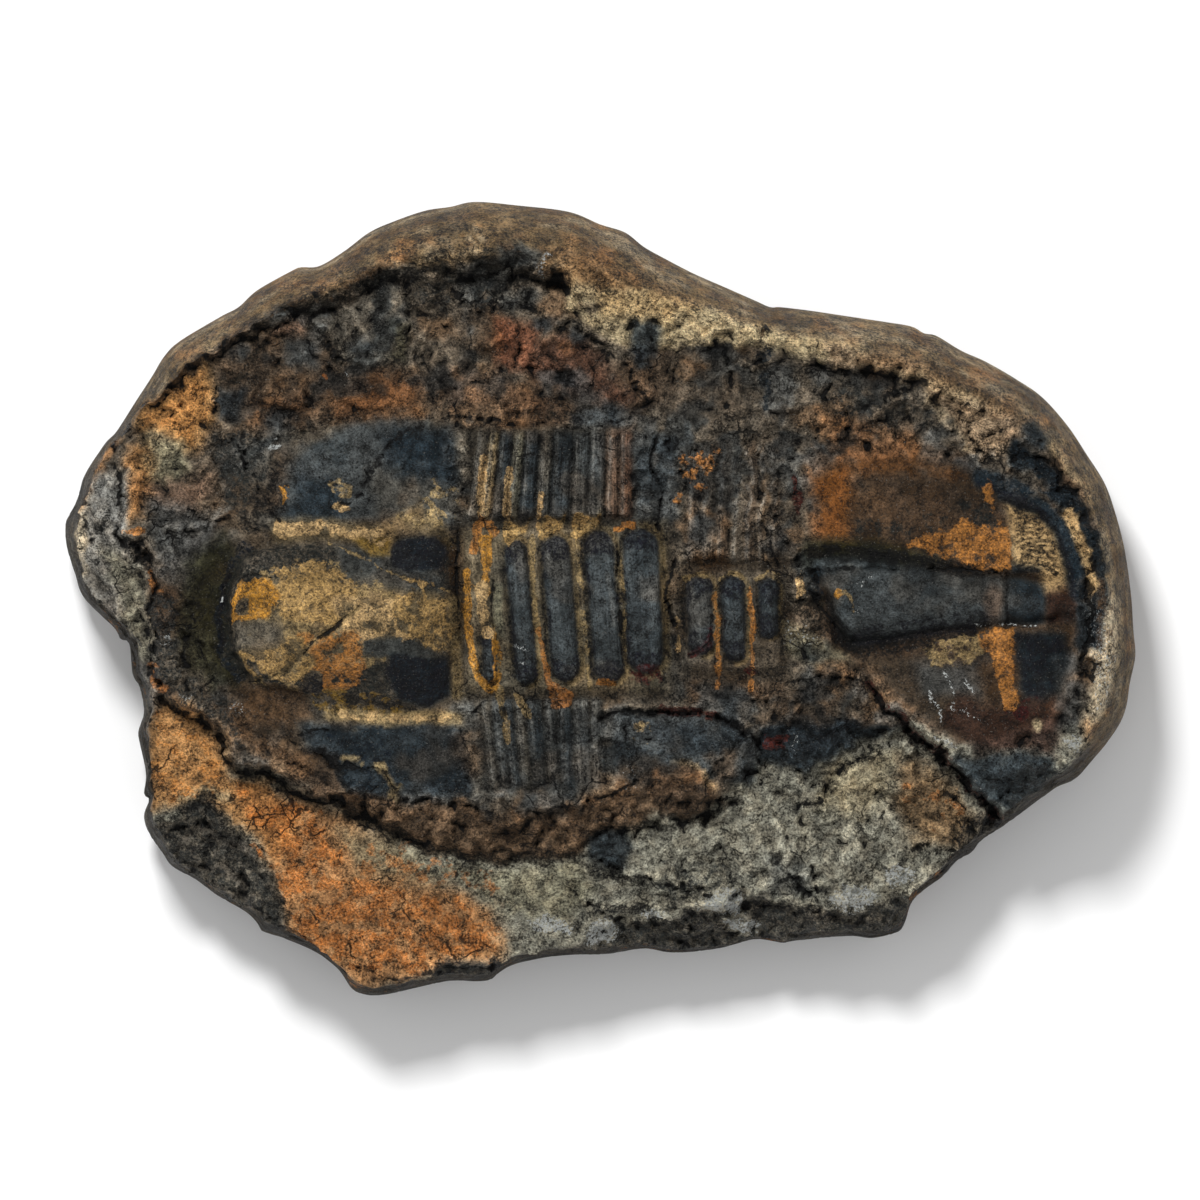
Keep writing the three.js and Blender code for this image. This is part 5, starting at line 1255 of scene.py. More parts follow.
def paintTail(p):
    p.area("tailBrown", tail["shield"], 0.92, 0.8)
    p.area("charcoal", [(40, 14), (58, 14), (52, 10), (40, 10)], 0.5, 2)
    p.area("tailOrange", [(33.6, 24), (39.6, 24), (39.6, 9.4), (34, 10)], 0.85, 1.8)
    p.line("tailOrange", [(42, 22), (50, 22.4), (58, 20.6)], 2.4, 0.5)
    p.area("rockBrown", [(56, 22), (60, 20), (63, 15), (58, 14)], 0.5, 1)
    band = [(49, 8.8), (52, 10.6), (56, 11.4), (60, 14.4), (62, 18), (63.4, 16), (63, 12.6), (65.4, 11),
            (65.6, 4.6), (60, 4.8), (55, 6.2), (52, 8)]
    p.area("orange", band, 0.8, 1.0, stain=True)
    p.area("charcoal", [(57, 15.6), (62.6, 15), (64, 11.6), (58, 11.8)], 0.7, 0.8)
    p.bare([(57, 15.6), (62, 15), (63.4, 11.8), (59, 12.2)], 0.8)
    p.area("navy", [(65.2, 10), (71, 10), (71, 4.6), (65.4, 4.4)], 0.9, 0.6)
    p.bare([(65.6, 10.4), (71.4, 10.4), (71, 4), (65.8, 3.6)], 0.4)
    # painted shade in the furrows beside the axis and on its lower flank, then the axis itself
    p.area("olive", [(31.6, 7), (33, 9.6), (44, 9.8), (51, 7.6), (56, 6), (50, 4.8), (33, 4.8)], 0.9, 1.4)
    axis = [(34, 5.4), (36, 7.2), (44, 6.4), (52, 5.2), (60, 4.4), (65.4, 4), (71, 2.4), (71, -3.6), (62, -4),
            (52, -5.4), (44, -7), (40, -8), (38.4, -5)]
    p.area("navyGrey", axis, 0.95, 1.0)
    p.line("shadowAndDarkRockBlack", [(34, 7.4), (40, 7.4), (46, 6.8), (52, 5.8), (60, 4.9)], 1.5, 0.8)
    p.line("shadowAndDarkRockBlack", [(40, -8.4), (46, -7.2), (52, -6), (59, -4.8)], 1.7, 0.97)
    p.line("navyBlack", [(41, -5.6), (50, -4.4), (62, -3)], 1.6, 0.6)
    p.area("navy", [(64.8, 3.6), (71, 2.6), (70.4, -3.8), (64.8, -4)], 0.7, 0.6)
    p.spot("blueGrey", (67.6, -0.6), 2.6, 1.6, 0.6)
    p.spot("pinkBrown", (62.6, -0.4), 1.6, 3.0, 0.5)
    # painted shade on the left end of the axis, which faces away from the light
    p.area("shadowAndDarkRockBlack", [(33, 1.6), (36, 1), (40, -5), (39, -8.4), (34, -4.6), (30.6, -1.6)], 0.93, 0.8)
    p.area("navyBlack", [(32.4, 5), (36, 5), (35, 1), (33, 1)], 0.7, 0.7)
    p.area("paleTan", [(31, 3.6), (32.2, 4.4), (32.8, 1), (31.4, 0.2)], 0.85, 0.3, stain=True)
    p.spot("gold", (37.7, 1), 0.8, 0.9, 0.85, stain=True)
    p.line("tan", [(38.6, 1.2), (40, 0.2), (40.2, -2)], 0.4, 0.7, stain=True)
    p.area("greenGrey", [(29, -3), (34, -5.4), (39, -8.6), (40, -10), (34, -10.4), (29.4, -8)], 0.7, 1)
    p.area("scuff", [(29, -3), (33, -3.4), (36, -6.4), (33, -8), (29, -7)], 0.5, 0.8)
    # painted highlights: a thin bright line on the axis's lower edge and pale specks on its crown
    p.line("scuff", [(60, -3.9), (65, -3.9), (70, -4.1)], 0.3, 0.72)
    p.line("scuff", [(41.4, 2.4), (43.4, 3.4)], 0.5, 0.6)
    p.spot("scuff", (41, -1.8), 1.0, 1.0, 0.45)
    p.area("tailRed", [(71, 1.4), (76, 1.4), (76, -3.6), (71.4, -3.8)], 0.92, 0.6)
    # ridged border at the tip
    p.area("paleTan", tail["terraces"], 0.9, 0.9)
    for k in range(12):
        y = 4.6 + k * tail["terracePitch"]
        reach = 1.5 * math.sin(math.pi * (k + 2) / 15)
        ridge = [(66.4 + 0.2 * k * (k < 5), y), (68.4, y + 0.5), (70, y), (71.4, y + 0.2),
                 (72.4 + reach, y - 0.5)]
        p.line("shadowAndStainBlack", ridge, 0.36, 0.95)
    innerCurve = [(61, 18.6), (66, 17.4), (70.6, 15), (73.6, 11.2), (75.4, 6), (76.6, 1)]
    outerCurve = [(66, 24), (70, 20.4), (74.4, 16.4), (77.4, 10.6), (79.4, 5), (80.2, -1), (79, -6.4)]
    for curve, half in ((innerCurve, 1.5), (outerCurve, 1.2)):
        p.line("navy", curve, half + 0.2, 0.95)
        p.line("navyBlack", curve, half, 0.9)
    p.line("paleTan", [(74.8, 13.4), (76.4, 9.4), (77.8, 5), (78.8, 1.4)], 1.0, 0.97)
    p.area("navy", [(76, 0), (79, -1), (79, -7), (76, -7.6)], 0.85, 0.7)
    # lower half of the shield
    p.area("rockGrey", [(36, -10), (43, -9), (52, -9), (57, -14), (57, -22), (50, -18)], 0.5, 1.5)
    p.area("blueGrey", [(50, -10), (60, -10), (61, -15), (51, -15.4)], 0.7, 1.4)
    p.area("tan", [(50.6, -7.6), (61, -4.6), (62, -8), (60, -10.4), (53, -10.4)], 0.72, 0.9, stain=True)
    p.area("orange", [(60.6, -4.4), (66, -4.4), (66, -10), (67, -17), (64.4, -17.4), (62.6, -11)], 0.86, 0.7,
           stain=True)
    darkCorner = [(66.2, -5.2), (74, -5.4), (74.6, -10), (72.6, -15.6), (67.4, -16.4)]
    p.area("navy", darkCorner, 0.9, 0.9)
    p.area("navyBlack", darkCorner, 0.6, 0.8)
    p.area("tailRed", [(57, -15), (64, -17), (72, -15), (75, -16), (72, -24), (60, -24.6), (55, -20)], 0.88,
           1.2)
    p.area("darkRed", [(64, -17), (70, -16), (70, -19), (64, -20)], 0.5, 1)
    p.area("blueGrey", [(72, -9), (76.4, -8), (76.4, -20), (73, -20)], 0.6, 1)
    p.line("scuff", [(55, -11), (57, -17), (61, -19.4)], 0.42, 0.62)
    p.line("scuff", [(52.5, -14), (53.2, -17), (54.4, -20)], 0.42, 0.75)
    p.line("scuff", [(58, -13), (59.4, -14.6)], 0.4, 0.7)
    p.spot("scuff", (75, -22.4), 1.6, 1.6, 0.75)
    p.spot("cream", (70, -19.6), 0.7, 0.9, 0.9)
    p.spot("scuff", (79.6, -11), 2.6, 5.4, 0.55)


def paintBreaks(p):
    p.line("darkRed", tailBreak, 1.1, 0.75)
    # painted shadow: a black line just below and left of the break, on its low side
    p.line("shadowAndStainBlack", [(x - 0.4, y - 0.4) for x, y in tailBreak], 0.45, 0.9)
    # painted highlights along the raised edge of the break
    p.line("scuff", [(53, -22), (57, -24)], 0.5, 0.8)
    p.line("scuff", [(59, -28), (64, -33)], 0.5, 0.62)
    p.area("navy", [(57, -25), (72, -24.6), (72, -33), (63, -33), (58, -28)], 0.85, 1)
    p.area("charcoal", [(65, -27), (82, -24), (76, -31), (66, -36)], 0.8, 1)
    p.area("navyGrey", [(0, -17.5), (14, -18.4), (21, -20), (25, -24), (24, -30), (18, -29), (12, -26),
           (6, -28), (2, -32), (0, -28)], 0.9, 0.8)
    p.area("navy", [(2, -19), (16, -20), (22, -24), (14, -25)], 0.6, 1.2)
    # painted shade along the step
    p.line("shadowAndStainBlack", stepLine, 0.75, 0.9)
    p.line("darkRed", [(10, -17.4), (18, -18.4)], 0.8, 0.85)
    p.spot("tan", (6.6, -21), 1.8, 2.4, 0.4, stain=True)
    p.spot("scuff", (4.6, -28.6), 1.8, 3.4, 0.42)
    lobe = [(6, -28), (9, -26.5), (12, -25.7), (15, -26.8), (18.7, -30.5), (19.5, -32), (14, -35), (8, -33)]
    p.area("rockBrown", lobe, 0.92, 0.6)
    p.line("rindTan", [(11.5, -25.6), (15, -26.5), (18.5, -29.5)], 0.6, 0.75)
    p.area("navy", [(25, -20), (33, -20.6), (42, -18.4), (48, -20), (42, -22), (37, -25.5), (31, -26.7),
           (25, -26)], 0.9, 0.8)
    # painted shade on the steep step below the tail, which faces away from the light
    p.area("shadowAndStainBlack", [(24, -18), (34, -19.4), (42, -17.4), (42, -19), (34, -21.4), (24, -20.6)], 0.6,
           0.8)
    p.spot("darkRed", (28, -23), 2.4, 1.0, 0.8)
    # painted highlight on the step
    p.line("scuff", [(30.4, -21.4), (31.4, -24)], 0.5, 0.62)
    slope = [(-46, -30), (-34, -31.4), (-26, -32), (-15, -33.6), (-5, -32.4), (4, -28.6), (7.5, -31),
             (8, -33), (7, -35.4), (2, -37.6), (-4, -40.8), (-16, -41.2), (-27, -40.4), (-35, -37),
             (-42.6, -32.4)]
    p.area("rindShade", slope, 0.85, 0.8)
    p.area("rockBrown", slope, 0.55, 0.8)
    # painted shade at the foot of the slope down to the ledges
    p.line("shadowAndDarkRockBlack", [(-50, -29), (-43, -31.8), (-35, -36.8), (-27, -40.2), (-16, -41), (-5, -40.8)],
           1.1, 0.85)
    p.line("shadowAndDarkRockBlack", [(-59, -25), (-56, -27.6), (-51, -29.4), (-47, -31.6)], 1.3, 0.8)
    p.area("navy", [(-2, -38), (4, -37), (7, -39), (4, -43.4), (-1, -42.4)], 0.85, 0.8)
    # painted shade at the foot of the same slope
    p.line("shadowAndDarkRockBlack", [(7, -36), (12, -35.6), (17, -34.6), (21, -32.8)], 0.8, 0.8)


def paintLedges(p):
    p.area("orange", [(-74, -16), (-66, -17), (-60, -22), (-58, -28), (-52, -30), (-48, -36), (-52, -42),
           (-60, -34), (-64, -31), (-74, -34)], 0.7, 1.4)
    p.area("orange", [(-72, -18), (-64, -19), (-59, -26), (-56, -32), (-66, -31), (-72, -31)], 0.45, 2,
           stain=True)
    p.area("rust", [(-58, -30), (-48, -32), (-40, -34), (-28, -44), (-16, -50), (-16, -58), (-38, -63),
           (-50, -54), (-52, -44)], 0.72, 2)
    p.area("redOrange", [(-57, -31), (-46, -33), (-40, -40), (-44, -50), (-52, -46), (-56, -38)], 0.62, 2.4,
           stain=True)
    p.area("redOrange", [(-50, -50), (-38, -44), (-22, -48), (-16, -53), (-18, -58), (-30, -60), (-46, -58)],
           0.66, 2.4, stain=True)
    p.area("greenGrey", [(-42, -36), (-34, -38.6), (-26, -42), (-14, -42.6), (-4, -42), (0, -46), (-6, -52),
           (-14, -50), (-24, -45), (-38, -44)], 0.72, 1.8)
    p.area("rust", [(-38, -37), (-26, -41.4), (-16, -43), (-14, -48), (-28, -46), (-40, -44)], 0.45, 1.6,
           stain=True)
    p.bare([(-13, -42), (-3, -42), (-1, -47), (-6, -49), (-12, -47)], 1.4)
    p.line("paleLedge", [(-67, -30.6), (-63, -30.4), (-59.6, -31.4)], 1.0, 0.7)
    p.area("sideGrey", [(-75, -16), (-72.6, -17), (-72, -31), (-74, -32)], 0.8, 0.8)
    for place, soft in ((chipScar, 0.5), (frontBreak, 0.8)):
        p.area("plateGrey", place, 0.92, soft)
        p.area("charcoal", place, 0.75, soft)
        p.bare(place, soft)
    # painted shade along the edge where the rock drops into the chipped scar
    p.line("shadowAndDarkRockBlack", [(-72.6, -35.2), (-66.6, -34.6), (-66.6, -32), (-64, -31.2), (-61.4, -32.4),
           (-56.4, -39.2), (-51.8, -43.4), (-50, -50), (-49.6, -55)], 0.85, 0.8)
    # painted shade just below each step of the scar
    for path in scarLines:
        p.line("sideGrey", [(x, y - 1.2) for x, y in path], 0.8, 0.6)
    p.area("ledgeGrey", [(22, -33), (25, -28), (34, -28), (42, -24), (49, -22.6), (55, -27), (60, -34),
           (57, -40), (50, -46), (36, -48), (24, -46), (16, -46), (9, -44), (9, -38), (16, -36)], 0.9, 1.4)
    p.area("paleLedge", [(36, -27), (44, -24), (49, -24), (46, -31), (42, -35), (35, -33)], 0.75, 1.6)
    p.area("brownLedge", [(49, -25), (54, -27), (60, -34), (57, -40), (50, -38), (47, -32)], 0.85, 1.6)
    p.area("rust", [(48, -27), (54, -28), (59, -34), (54, -38), (49, -36)], 0.36, 1.6, stain=True)
    p.area("blueGrey", [(27, -41), (34, -42), (34, -47), (27, -47)], 0.5, 1.4)
    # painted shade in the corner beside the broken tail block
    p.area("shadowAndDarkRockBlack", [(56.6, -35), (60, -33.6), (63, -35), (60.6, -40), (57, -43), (54, -42)], 0.75, 0.9)
    # painted shade along the flake edges of the front ledges
    for edge in ([(-11, -41.3), (-3.7, -42), (3.7, -44.2), (12.5, -45.7), (18.4, -47.2)],
                 [(-6.6, -53), (0.7, -50), (9.6, -49.4), (18.4, -48.6), (24.3, -48), (33, -49.4), (42, -52)],
                 ledgeFlake, [(28, -41), (31, -44), (37, -46)]):
        p.line("shadowAndStainBlack", edge, 0.8, 0.85)
    p.area("charcoal", [(9.6, -42), (24, -41.6), (25, -47), (11, -48)], 0.6, 1.8)
    # pale specks on the front ledges: painted highlights with pale scuffs
    for place, halfX, halfY in (((20, -48), 4.6, 2.4), ((40.5, -47.6), 4.8, 2.6), ((23, -51.6), 3.4, 1.4),
                                ((9, -50.2), 3.0, 1.1), ((1, -53.4), 3.4, 2.6),
                                 ((48, -43.6), 3.2, 1.8), ((-8, -52), 4, 1.6)):
        p.spot("scuff", place, halfX, halfY, 0.8)
        p.spot("ledgeGrey", place, halfX, halfY, 0.6)


# Height of the face on an even grid, and how far each place lies below its surroundings
class CavityMap:
    def __init__(self, step=0.4):
        self.step = step
        self.left = -90.0
        self.low = -68.0
        x, y = np.meshgrid(np.arange(self.left, 90, step), np.arange(self.low, 68, step), indexing="ij")
        height = surfaceHeight(x.ravel(), y.ravel()).reshape(x.shape)
        self.fine = height - self.blurred(height, 2)
        self.broad = height - self.blurred(height, 8)

    def blurred(self, values, reach):
        for axis in (0, 1):
            for _ in range(2):
                padded = np.pad(values, [(reach + 1, reach) if k == axis else (0, 0) for k in (0, 1)], "edge")
                total = np.cumsum(padded, axis)
                width = 2 * reach + 1
                ahead = np.take(total, range(width, total.shape[axis]), axis)
                behind = np.take(total, range(0, total.shape[axis] - width), axis)
                values = (ahead - behind) / width
        return values

    def at(self, grid, x, y):
        i = np.clip((x - self.left) / self.step, 0, grid.shape[0] - 2)
        j = np.clip((y - self.low) / self.step, 0, grid.shape[1] - 2)
        i0 = i.astype(int)
        j0 = j.astype(int)
        i -= i0
        j -= j0
        low = grid[i0, j0] * (1 - i) + grid[i0 + 1, j0] * i
        high = grid[i0, j0 + 1] * (1 - i) + grid[i0 + 1, j0 + 1] * i
        return low * (1 - j) + high * j


def blend(base, colour, share):
    return base + (np.array(stoneColours[colour], float) - base) * share[:, None]


# Random patches on the open bed: colour, place in the noise, size in mm, share
bedPatches = (("rust", 40, 7.0, 0.25), ("blueGrey", 140, 6.0, 0.6), ("navyBlack", 90, 4.6, 0.5))
brightest = 198  # no colour of the ground is lit beyond this, or it would turn green or white


# Colours of the whole stone: zones first, then every mark of the face, then sides and hollows
def paintStone(corners):
    x, y, z = corners.T
    paint = StonePaint(x, y)
    rim = slopeShare(rimFoot, rimTop, paint.x, paint.y)
    bed = slopeShare(bedFoot, bedTop, paint.x, paint.y)
    streak = strata(x, y, z)
    patches = layeredNoise(x, y + 20, 9.0, 3)
    paint.ground[:] = stoneColours["ledgeGrey"]
    paint.ground = blend(paint.ground, "rockGrey", smoothStep(bed, 0.3, 0.7))
    paint.ground = blend(paint.ground, "rockBrown", smoothStep(bed, 0.3, 0.7) * smoothStep(patches, 0, 0.5))
    rind = np.tile(np.array(stoneColours["rindBrown"], float), (len(x), 1))
    rind = blend(rind, "rindTan", smoothStep(patches, -0.1, 0.5) * 0.7)
    rind = blend(rind, "rindPale", smoothStep(streak, 0.15, 0.5) * 0.7)
    rind = blend(rind, "rindShade", smoothStep(-streak, 0.1, 0.45) * 0.8)
    rust = layeredNoise(x + 60, y * 1.4, 5.0, 3)
    rind = blend(rind, "rindOrange", smoothStep(rust, 0.25, 0.6) * 0.45)
    onRim = smoothStep(rim, 0.45, 0.9)[:, None]
    paint.ground = paint.ground * (1 - onRim) + rind * onRim
    for step in (paintUpperRock, paintUpperLeft, paintLedges, paintBreaks, paintLeftBlock, paintRim,
                 paintCliff, paintCheeks, paintGlabella, paintThorax, paintTail):
        step(paint)

    # below the face: thin dark layers on broken sides, rind elsewhere
    layer = layeredNoise(x / 5 + y / 5, z * 1.6, 2.2, 3)
    broken = np.tile(np.array(stoneColours["sideGrey"], float), (len(x), 1))
    broken = blend(broken, "shadowAndDarkRockBlack", smoothStep(-layer, 0.05, 0.6) * 0.7)
    broken = blend(broken, "greenGrey", smoothStep(layer, 0.25, 0.8) * 0.6)
    rindShare = rindShareAt(x, y)[:, None]
    sides = broken * (1 - rindShare) + rind * rindShare
    sides = blend(sides, "underBrown", 1 - smoothStep(z, 0.5, 7))
    below = surfaceHeight(x, y) - z
    deep = smoothStep(below, 0.8, 3.2)
    paint.ground = paint.ground * (1 - deep[:, None]) + sides * deep[:, None]
    paint.cover *= 1 - deep
    paint.scuff *= 1 - deep
    edgeStain = smoothStep(patches, 0.1, 0.7) * deep * (1 - rindShare[:, 0]) * 0.4
    paint.stain = np.where((deep > 0.5)[:, None], stoneColours["orange"], paint.stain)
    paint.cover = np.maximum(paint.cover, edgeStain)

    # uneven tone, painted shade in the hollows and painted highlight on the ridges
    tone = 1 + 0.26 * layeredNoise(x + 5, y, 3.4, 4) + 0.12 * softNoise(x, y + z, 0.9)
    pale = smoothStep(paint.ground.mean(1), 90, 125)
    onBed = smoothStep(bed, 0.6, 1) * (1 - rim) * (1 - deep) * (1 - pale) * (1 - 0.7 * shellShare(x, y))
    for patchTone, place, size, share in bedPatches:
        patch = smoothStep(layeredNoise(x + place, y + place, size, 4), 0.12, 0.42)
        paint.ground = blend(paint.ground, patchTone, share * patch * onBed * smoothStep(x, -64, -58))
    cavity = CavityMap()
    sunk = np.clip(-cavity.at(cavity.fine, x, y) / 0.5, 0, 1)
    sunk = sunk * (1 - 0.5 * shellShare(x, y))
    hollow = 0.32 * sunk + 0.14 * np.clip(-cavity.at(cavity.broad, x, y) / 2.4, 0, 1)
    ridge = np.clip(cavity.at(cavity.fine, x, y) / 0.4, 0, 1) * 0.34
    face = 1 - deep
    tone = tone * (1 - hollow * face) * (1 + ridge * face)
    paint.ground *= (tone + (1 - tone) * 0.5 * pale)[:, None]
    paint.ground *= np.minimum(1, brightest / paint.ground.max(1))[:, None]
    paint.stain *= (0.4 + 0.6 * tone)[:, None]
    paint.cover *= 1 - 0.5 * sunk * face
    paint.shade *= 1 - deep
    paint.streak *= 1 - deep
    # painted light: the rim's inner slope right of x = -9 faces away from the key and is brightened
    onSlope = 4 * rim * (1 - rim) * smoothStep(x, -9, -2) * face
    paint.ground = paint.ground * (1 + 0.16 * onSlope)[:, None]
    onRock = 1 - 0.7 * shellShare(x, y)
    # painted shade: the deeper hollows of the relief are blackened like cracks
    paint.crack = face * np.maximum(paint.crack, 0.96 * sunk * onRock)
    lines = smoothStep(-streak, 0.2, 0.55) * onRim[:, 0] * face
    paint.shade = np.maximum(paint.shade, 0.5 * lines)
    paint.shadeTone = np.where((lines > 0.02)[:, None], stoneColours["rindShade"], paint.shadeTone)
    # painted shade: black along each crack of the relief
    for path, half, depth in cracks:
        where = paint.nearby(path, 2.5)
        away = pathDistance(path, paint.x[where], paint.y[where])
        fade = 0.86 + 0.14 * smoothStep(softNoise(x[where], y[where], 3.0), -0.5, 0.3)
        near = np.clip(1 - away / 1.4, 0, 1) * np.where(half > 0.6, 1, fade)
        paint.crack[where] = np.maximum(paint.crack[where], face[where] * near)
    rimShare = slopeShare(rimFoot, rimTop, x, y)
    onOpenRock = (1 - 0.93 * shellShare(x, y)) * (1 - 0.94 * rimShare)
    paint.grit = face * onOpenRock * np.clip(brokenness(x, y) * 1.6, 0.15, 1)
    print("stone painted")
    return paint


# For rock, rind and shell: the sheen that lifts dark tones and is taken off first, and the colours' strength
gloss = {"haze": (0.005, 0.006, 0.012), "specular": 0.2, "exposure": (1.75, 0.96, 1.02)}


def linear(colour):
    share = np.clip(np.asarray(colour, float) / 255, 0, 1)
    return np.where(share <= 0.04045, share / 12.92, ((share + 0.055) / 1.055) ** 2.4)


# Which finish each face takes: 0 split rock, 1 weathered rind, 2 fossil shell
def faceFinish(x, y, z):
    rim = slopeShare(rimFoot, rimTop, x, y)
    below = surfaceHeight(x, y) - z
    onRind = np.where(below > 2, rindShareAt(x, y) > 0.5, rim > 0.6) | (z < 2)
    onShell = depthInside(head["glabella"], x, y) > 0
    onShell |= depthInside(tail["shield"], x, y) > 0
    onShell |= ringHeight(x, y) > 0.4
    onShell |= depthInside(head["shield"], x, y) > 1
    return np.where(onRind, 1, np.where(onShell & (below < 2), 2, 0))


def storeColours(stone, paint, x, y, z):
    shape = stone.data
    onRind = np.maximum(slopeShare(rimFoot, rimTop, x, y), smoothStep(surfaceHeight(x, y) - z, 1, 3))
    onShell = shellShare(x, y) * (1 - onRind)
    shares = (1 - onRind - onShell, onRind, onShell)
    exposure = sum(share * value for share, value in zip(shares, gloss["exposure"]))
    haze = sum(share * value for share, value in zip(shares, gloss["haze"]))
    for name, colours in (("stoneGround", paint.ground), ("stoneStain", paint.stain),
                          ("stoneShade", paint.shadeTone)):
        layer = shape.attributes.new(name, "FLOAT_COLOR", "POINT")
        values = np.ones((len(colours), 4))
        values[:, :3] = np.maximum(linear(colours) * exposure[:, None] - haze[:, None], 0.002)
        layer.data.foreach_set("color", values.ravel())
    for name, values in (("stainCover", paint.cover), ("scuffAndHighlightCover", paint.scuff),
                         ("crackShade", paint.crack), ("shadeCover", paint.shade),
                         ("streakCover", paint.streak), ("streakPlace", paint.streakPlace * metresPerMm),
                         ("gritShare", paint.grit)):
        layer = shape.attributes.new(name, "FLOAT", "POINT")
        layer.data.foreach_set("value", values)


# Linear colours of the shader's own marks
fixedTones = {
    "scuff": (0.6, 0.62, 0.6, 1),
    "crack": (0.004, 0.004, 0.004, 1),
    "glint": (0.34, 0.32, 0.28, 1),
    "warm": (1.08, 0.98, 0.88, 1),
}


# Shader groups shared by the three finishes; an input's value is a number or the name of its kind
def newGroup(name, inputs, outputs):
    group = bpy.data.node_groups.new(name, "ShaderNodeTree")
    for label, value in inputs.items():
        kind = value if isinstance(value, str) else "Float"
        socket = group.interface.new_socket(label, in_out="INPUT", socket_type="NodeSocket" + kind)
        if kind == "Float":
            socket.default_value = value
    for label, kind in outputs.items():
        group.interface.new_socket(label, in_out="OUTPUT", socket_type="NodeSocket" + kind)
    start = group.nodes.new("NodeGroupInput")
    end = group.nodes.new("NodeGroupOutput")
    return group, start.outputs, end.inputs


class NodeDesk:  # adds nodes to a tree and links them
    def __init__(self, tree):
        self.tree = tree

    def feed(self, node, links):
        for socket, source in links.items():
            if isinstance(source, bpy.types.NodeSocket):
                self.tree.links.new(source, node.inputs[socket])
            else:
                node.inputs[socket].default_value = source

    def add(self, kind, links=None, **settings):
        node = self.tree.nodes.new(kind)
        for key, value in settings.items():
            setattr(node, key, value)
        self.feed(node, links or {})
        return node

    def noise(self, vector, scale, detail, roughness=0.5):
        links = {"Vector": vector, "Scale": scale, "Detail": detail, "Roughness": roughness}
        return self.add("ShaderNodeTexNoise", links).outputs["Fac"]

    def math(self, operation, first, second):
        return self.add("ShaderNodeMath", {0: first, 1: second}, operation=operation).outputs[0]

    def spread(self, value, low, high, toLow, toHigh, kind="SMOOTHSTEP"):
        links = {"Value": value, "From Min": low, "From Max": high, "To Min": toLow, "To Max": toHigh}
        return self.add("ShaderNodeMapRange", links, interpolation_type=kind).outputs["Result"]

    # short hairline cracks, and the flat facets that the rock breaks into, between -1 and 1
    def crackle(self, vector, strength):
        swirl = self.add("ShaderNodeTexNoise", {"Vector": vector, "Scale": 420.0, "Detail": 3.0})
        centred = self.vector("SUBTRACT", {0: swirl.outputs["Color"], 1: (0.5, 0.5, 0.5)})
        bent = self.vector("ADD", {0: vector, 1: self.vector("SCALE", {0: centred, "Scale": 0.0032})})
        edge = self.add("ShaderNodeTexVoronoi", {"Vector": bent, "Scale": 170.0}, feature="DISTANCE_TO_EDGE")
        line = self.spread(edge.outputs["Distance"], 0.008, 0.03, 1.0, 0.0)
        patch = self.spread(self.noise(vector, 130.0, 3), 0.5, 0.62, 0.0, 1.0)
        cells = self.add("ShaderNodeTexVoronoi", {"Vector": bent, "Scale": 520.0}, feature="F1")
        facet = self.add("ShaderNodeSeparateColor", {0: cells.outputs["Color"]}).outputs[0]
        facet = self.math("MULTIPLY", self.spread(facet, 0.0, 1.0, -1.0, 1.0, "LINEAR"), strength)
        return self.math("MULTIPLY", self.math("MULTIPLY", line, patch), strength), facet

    def mix(self, share, first, second, blendType="MIX"):
        node = self.add("ShaderNodeMix", data_type="RGBA", blend_type=blendType)
        self.feed(node, {0: share, 6: first, 7: second})
        return node.outputs[2]

    def vector(self, operation, links):
        return self.add("ShaderNodeVectorMath", links, operation=operation).outputs[0]


# Ragged blotches of one colour over another
def stainGroup():
    group, given, result = newGroup("mineralStain", {
        "Vector": "Vector", "Ground": "Color", "Stain": "Color", "Cover": 0.0, "Blotch Scale": 450.0,
        "Speck Scale": 1900.0, "Strength": 0.92,
    }, {"Colour": "Color", "Mask": "Float"})
    desk = NodeDesk(group)
    blotch = desk.noise(given["Vector"], given["Blotch Scale"], 5, 0.62)
    speck = desk.noise(given["Vector"], given["Speck Scale"], 3, 0.6)
    mixed = desk.math("ADD", desk.math("MULTIPLY", blotch, 0.76), desk.math("MULTIPLY", speck, 0.24))
    even = desk.spread(mixed, 0.37, 0.63, 0.02, 0.98, "LINEAR")
    over = desk.math("SUBTRACT", given["Cover"], even)
    edge = desk.spread(over, -0.1, 0.16, 0.0, 1.0)
    thin = desk.spread(speck, 0.38, 0.6, 0.45, 1.0)
    mask = desk.math("MULTIPLY", desk.math("MULTIPLY", edge, thin), given["Strength"])
    group.links.new(desk.mix(mask, given["Ground"], given["Stain"]), result["Colour"])
    group.links.new(mask, result["Mask"])
    return group
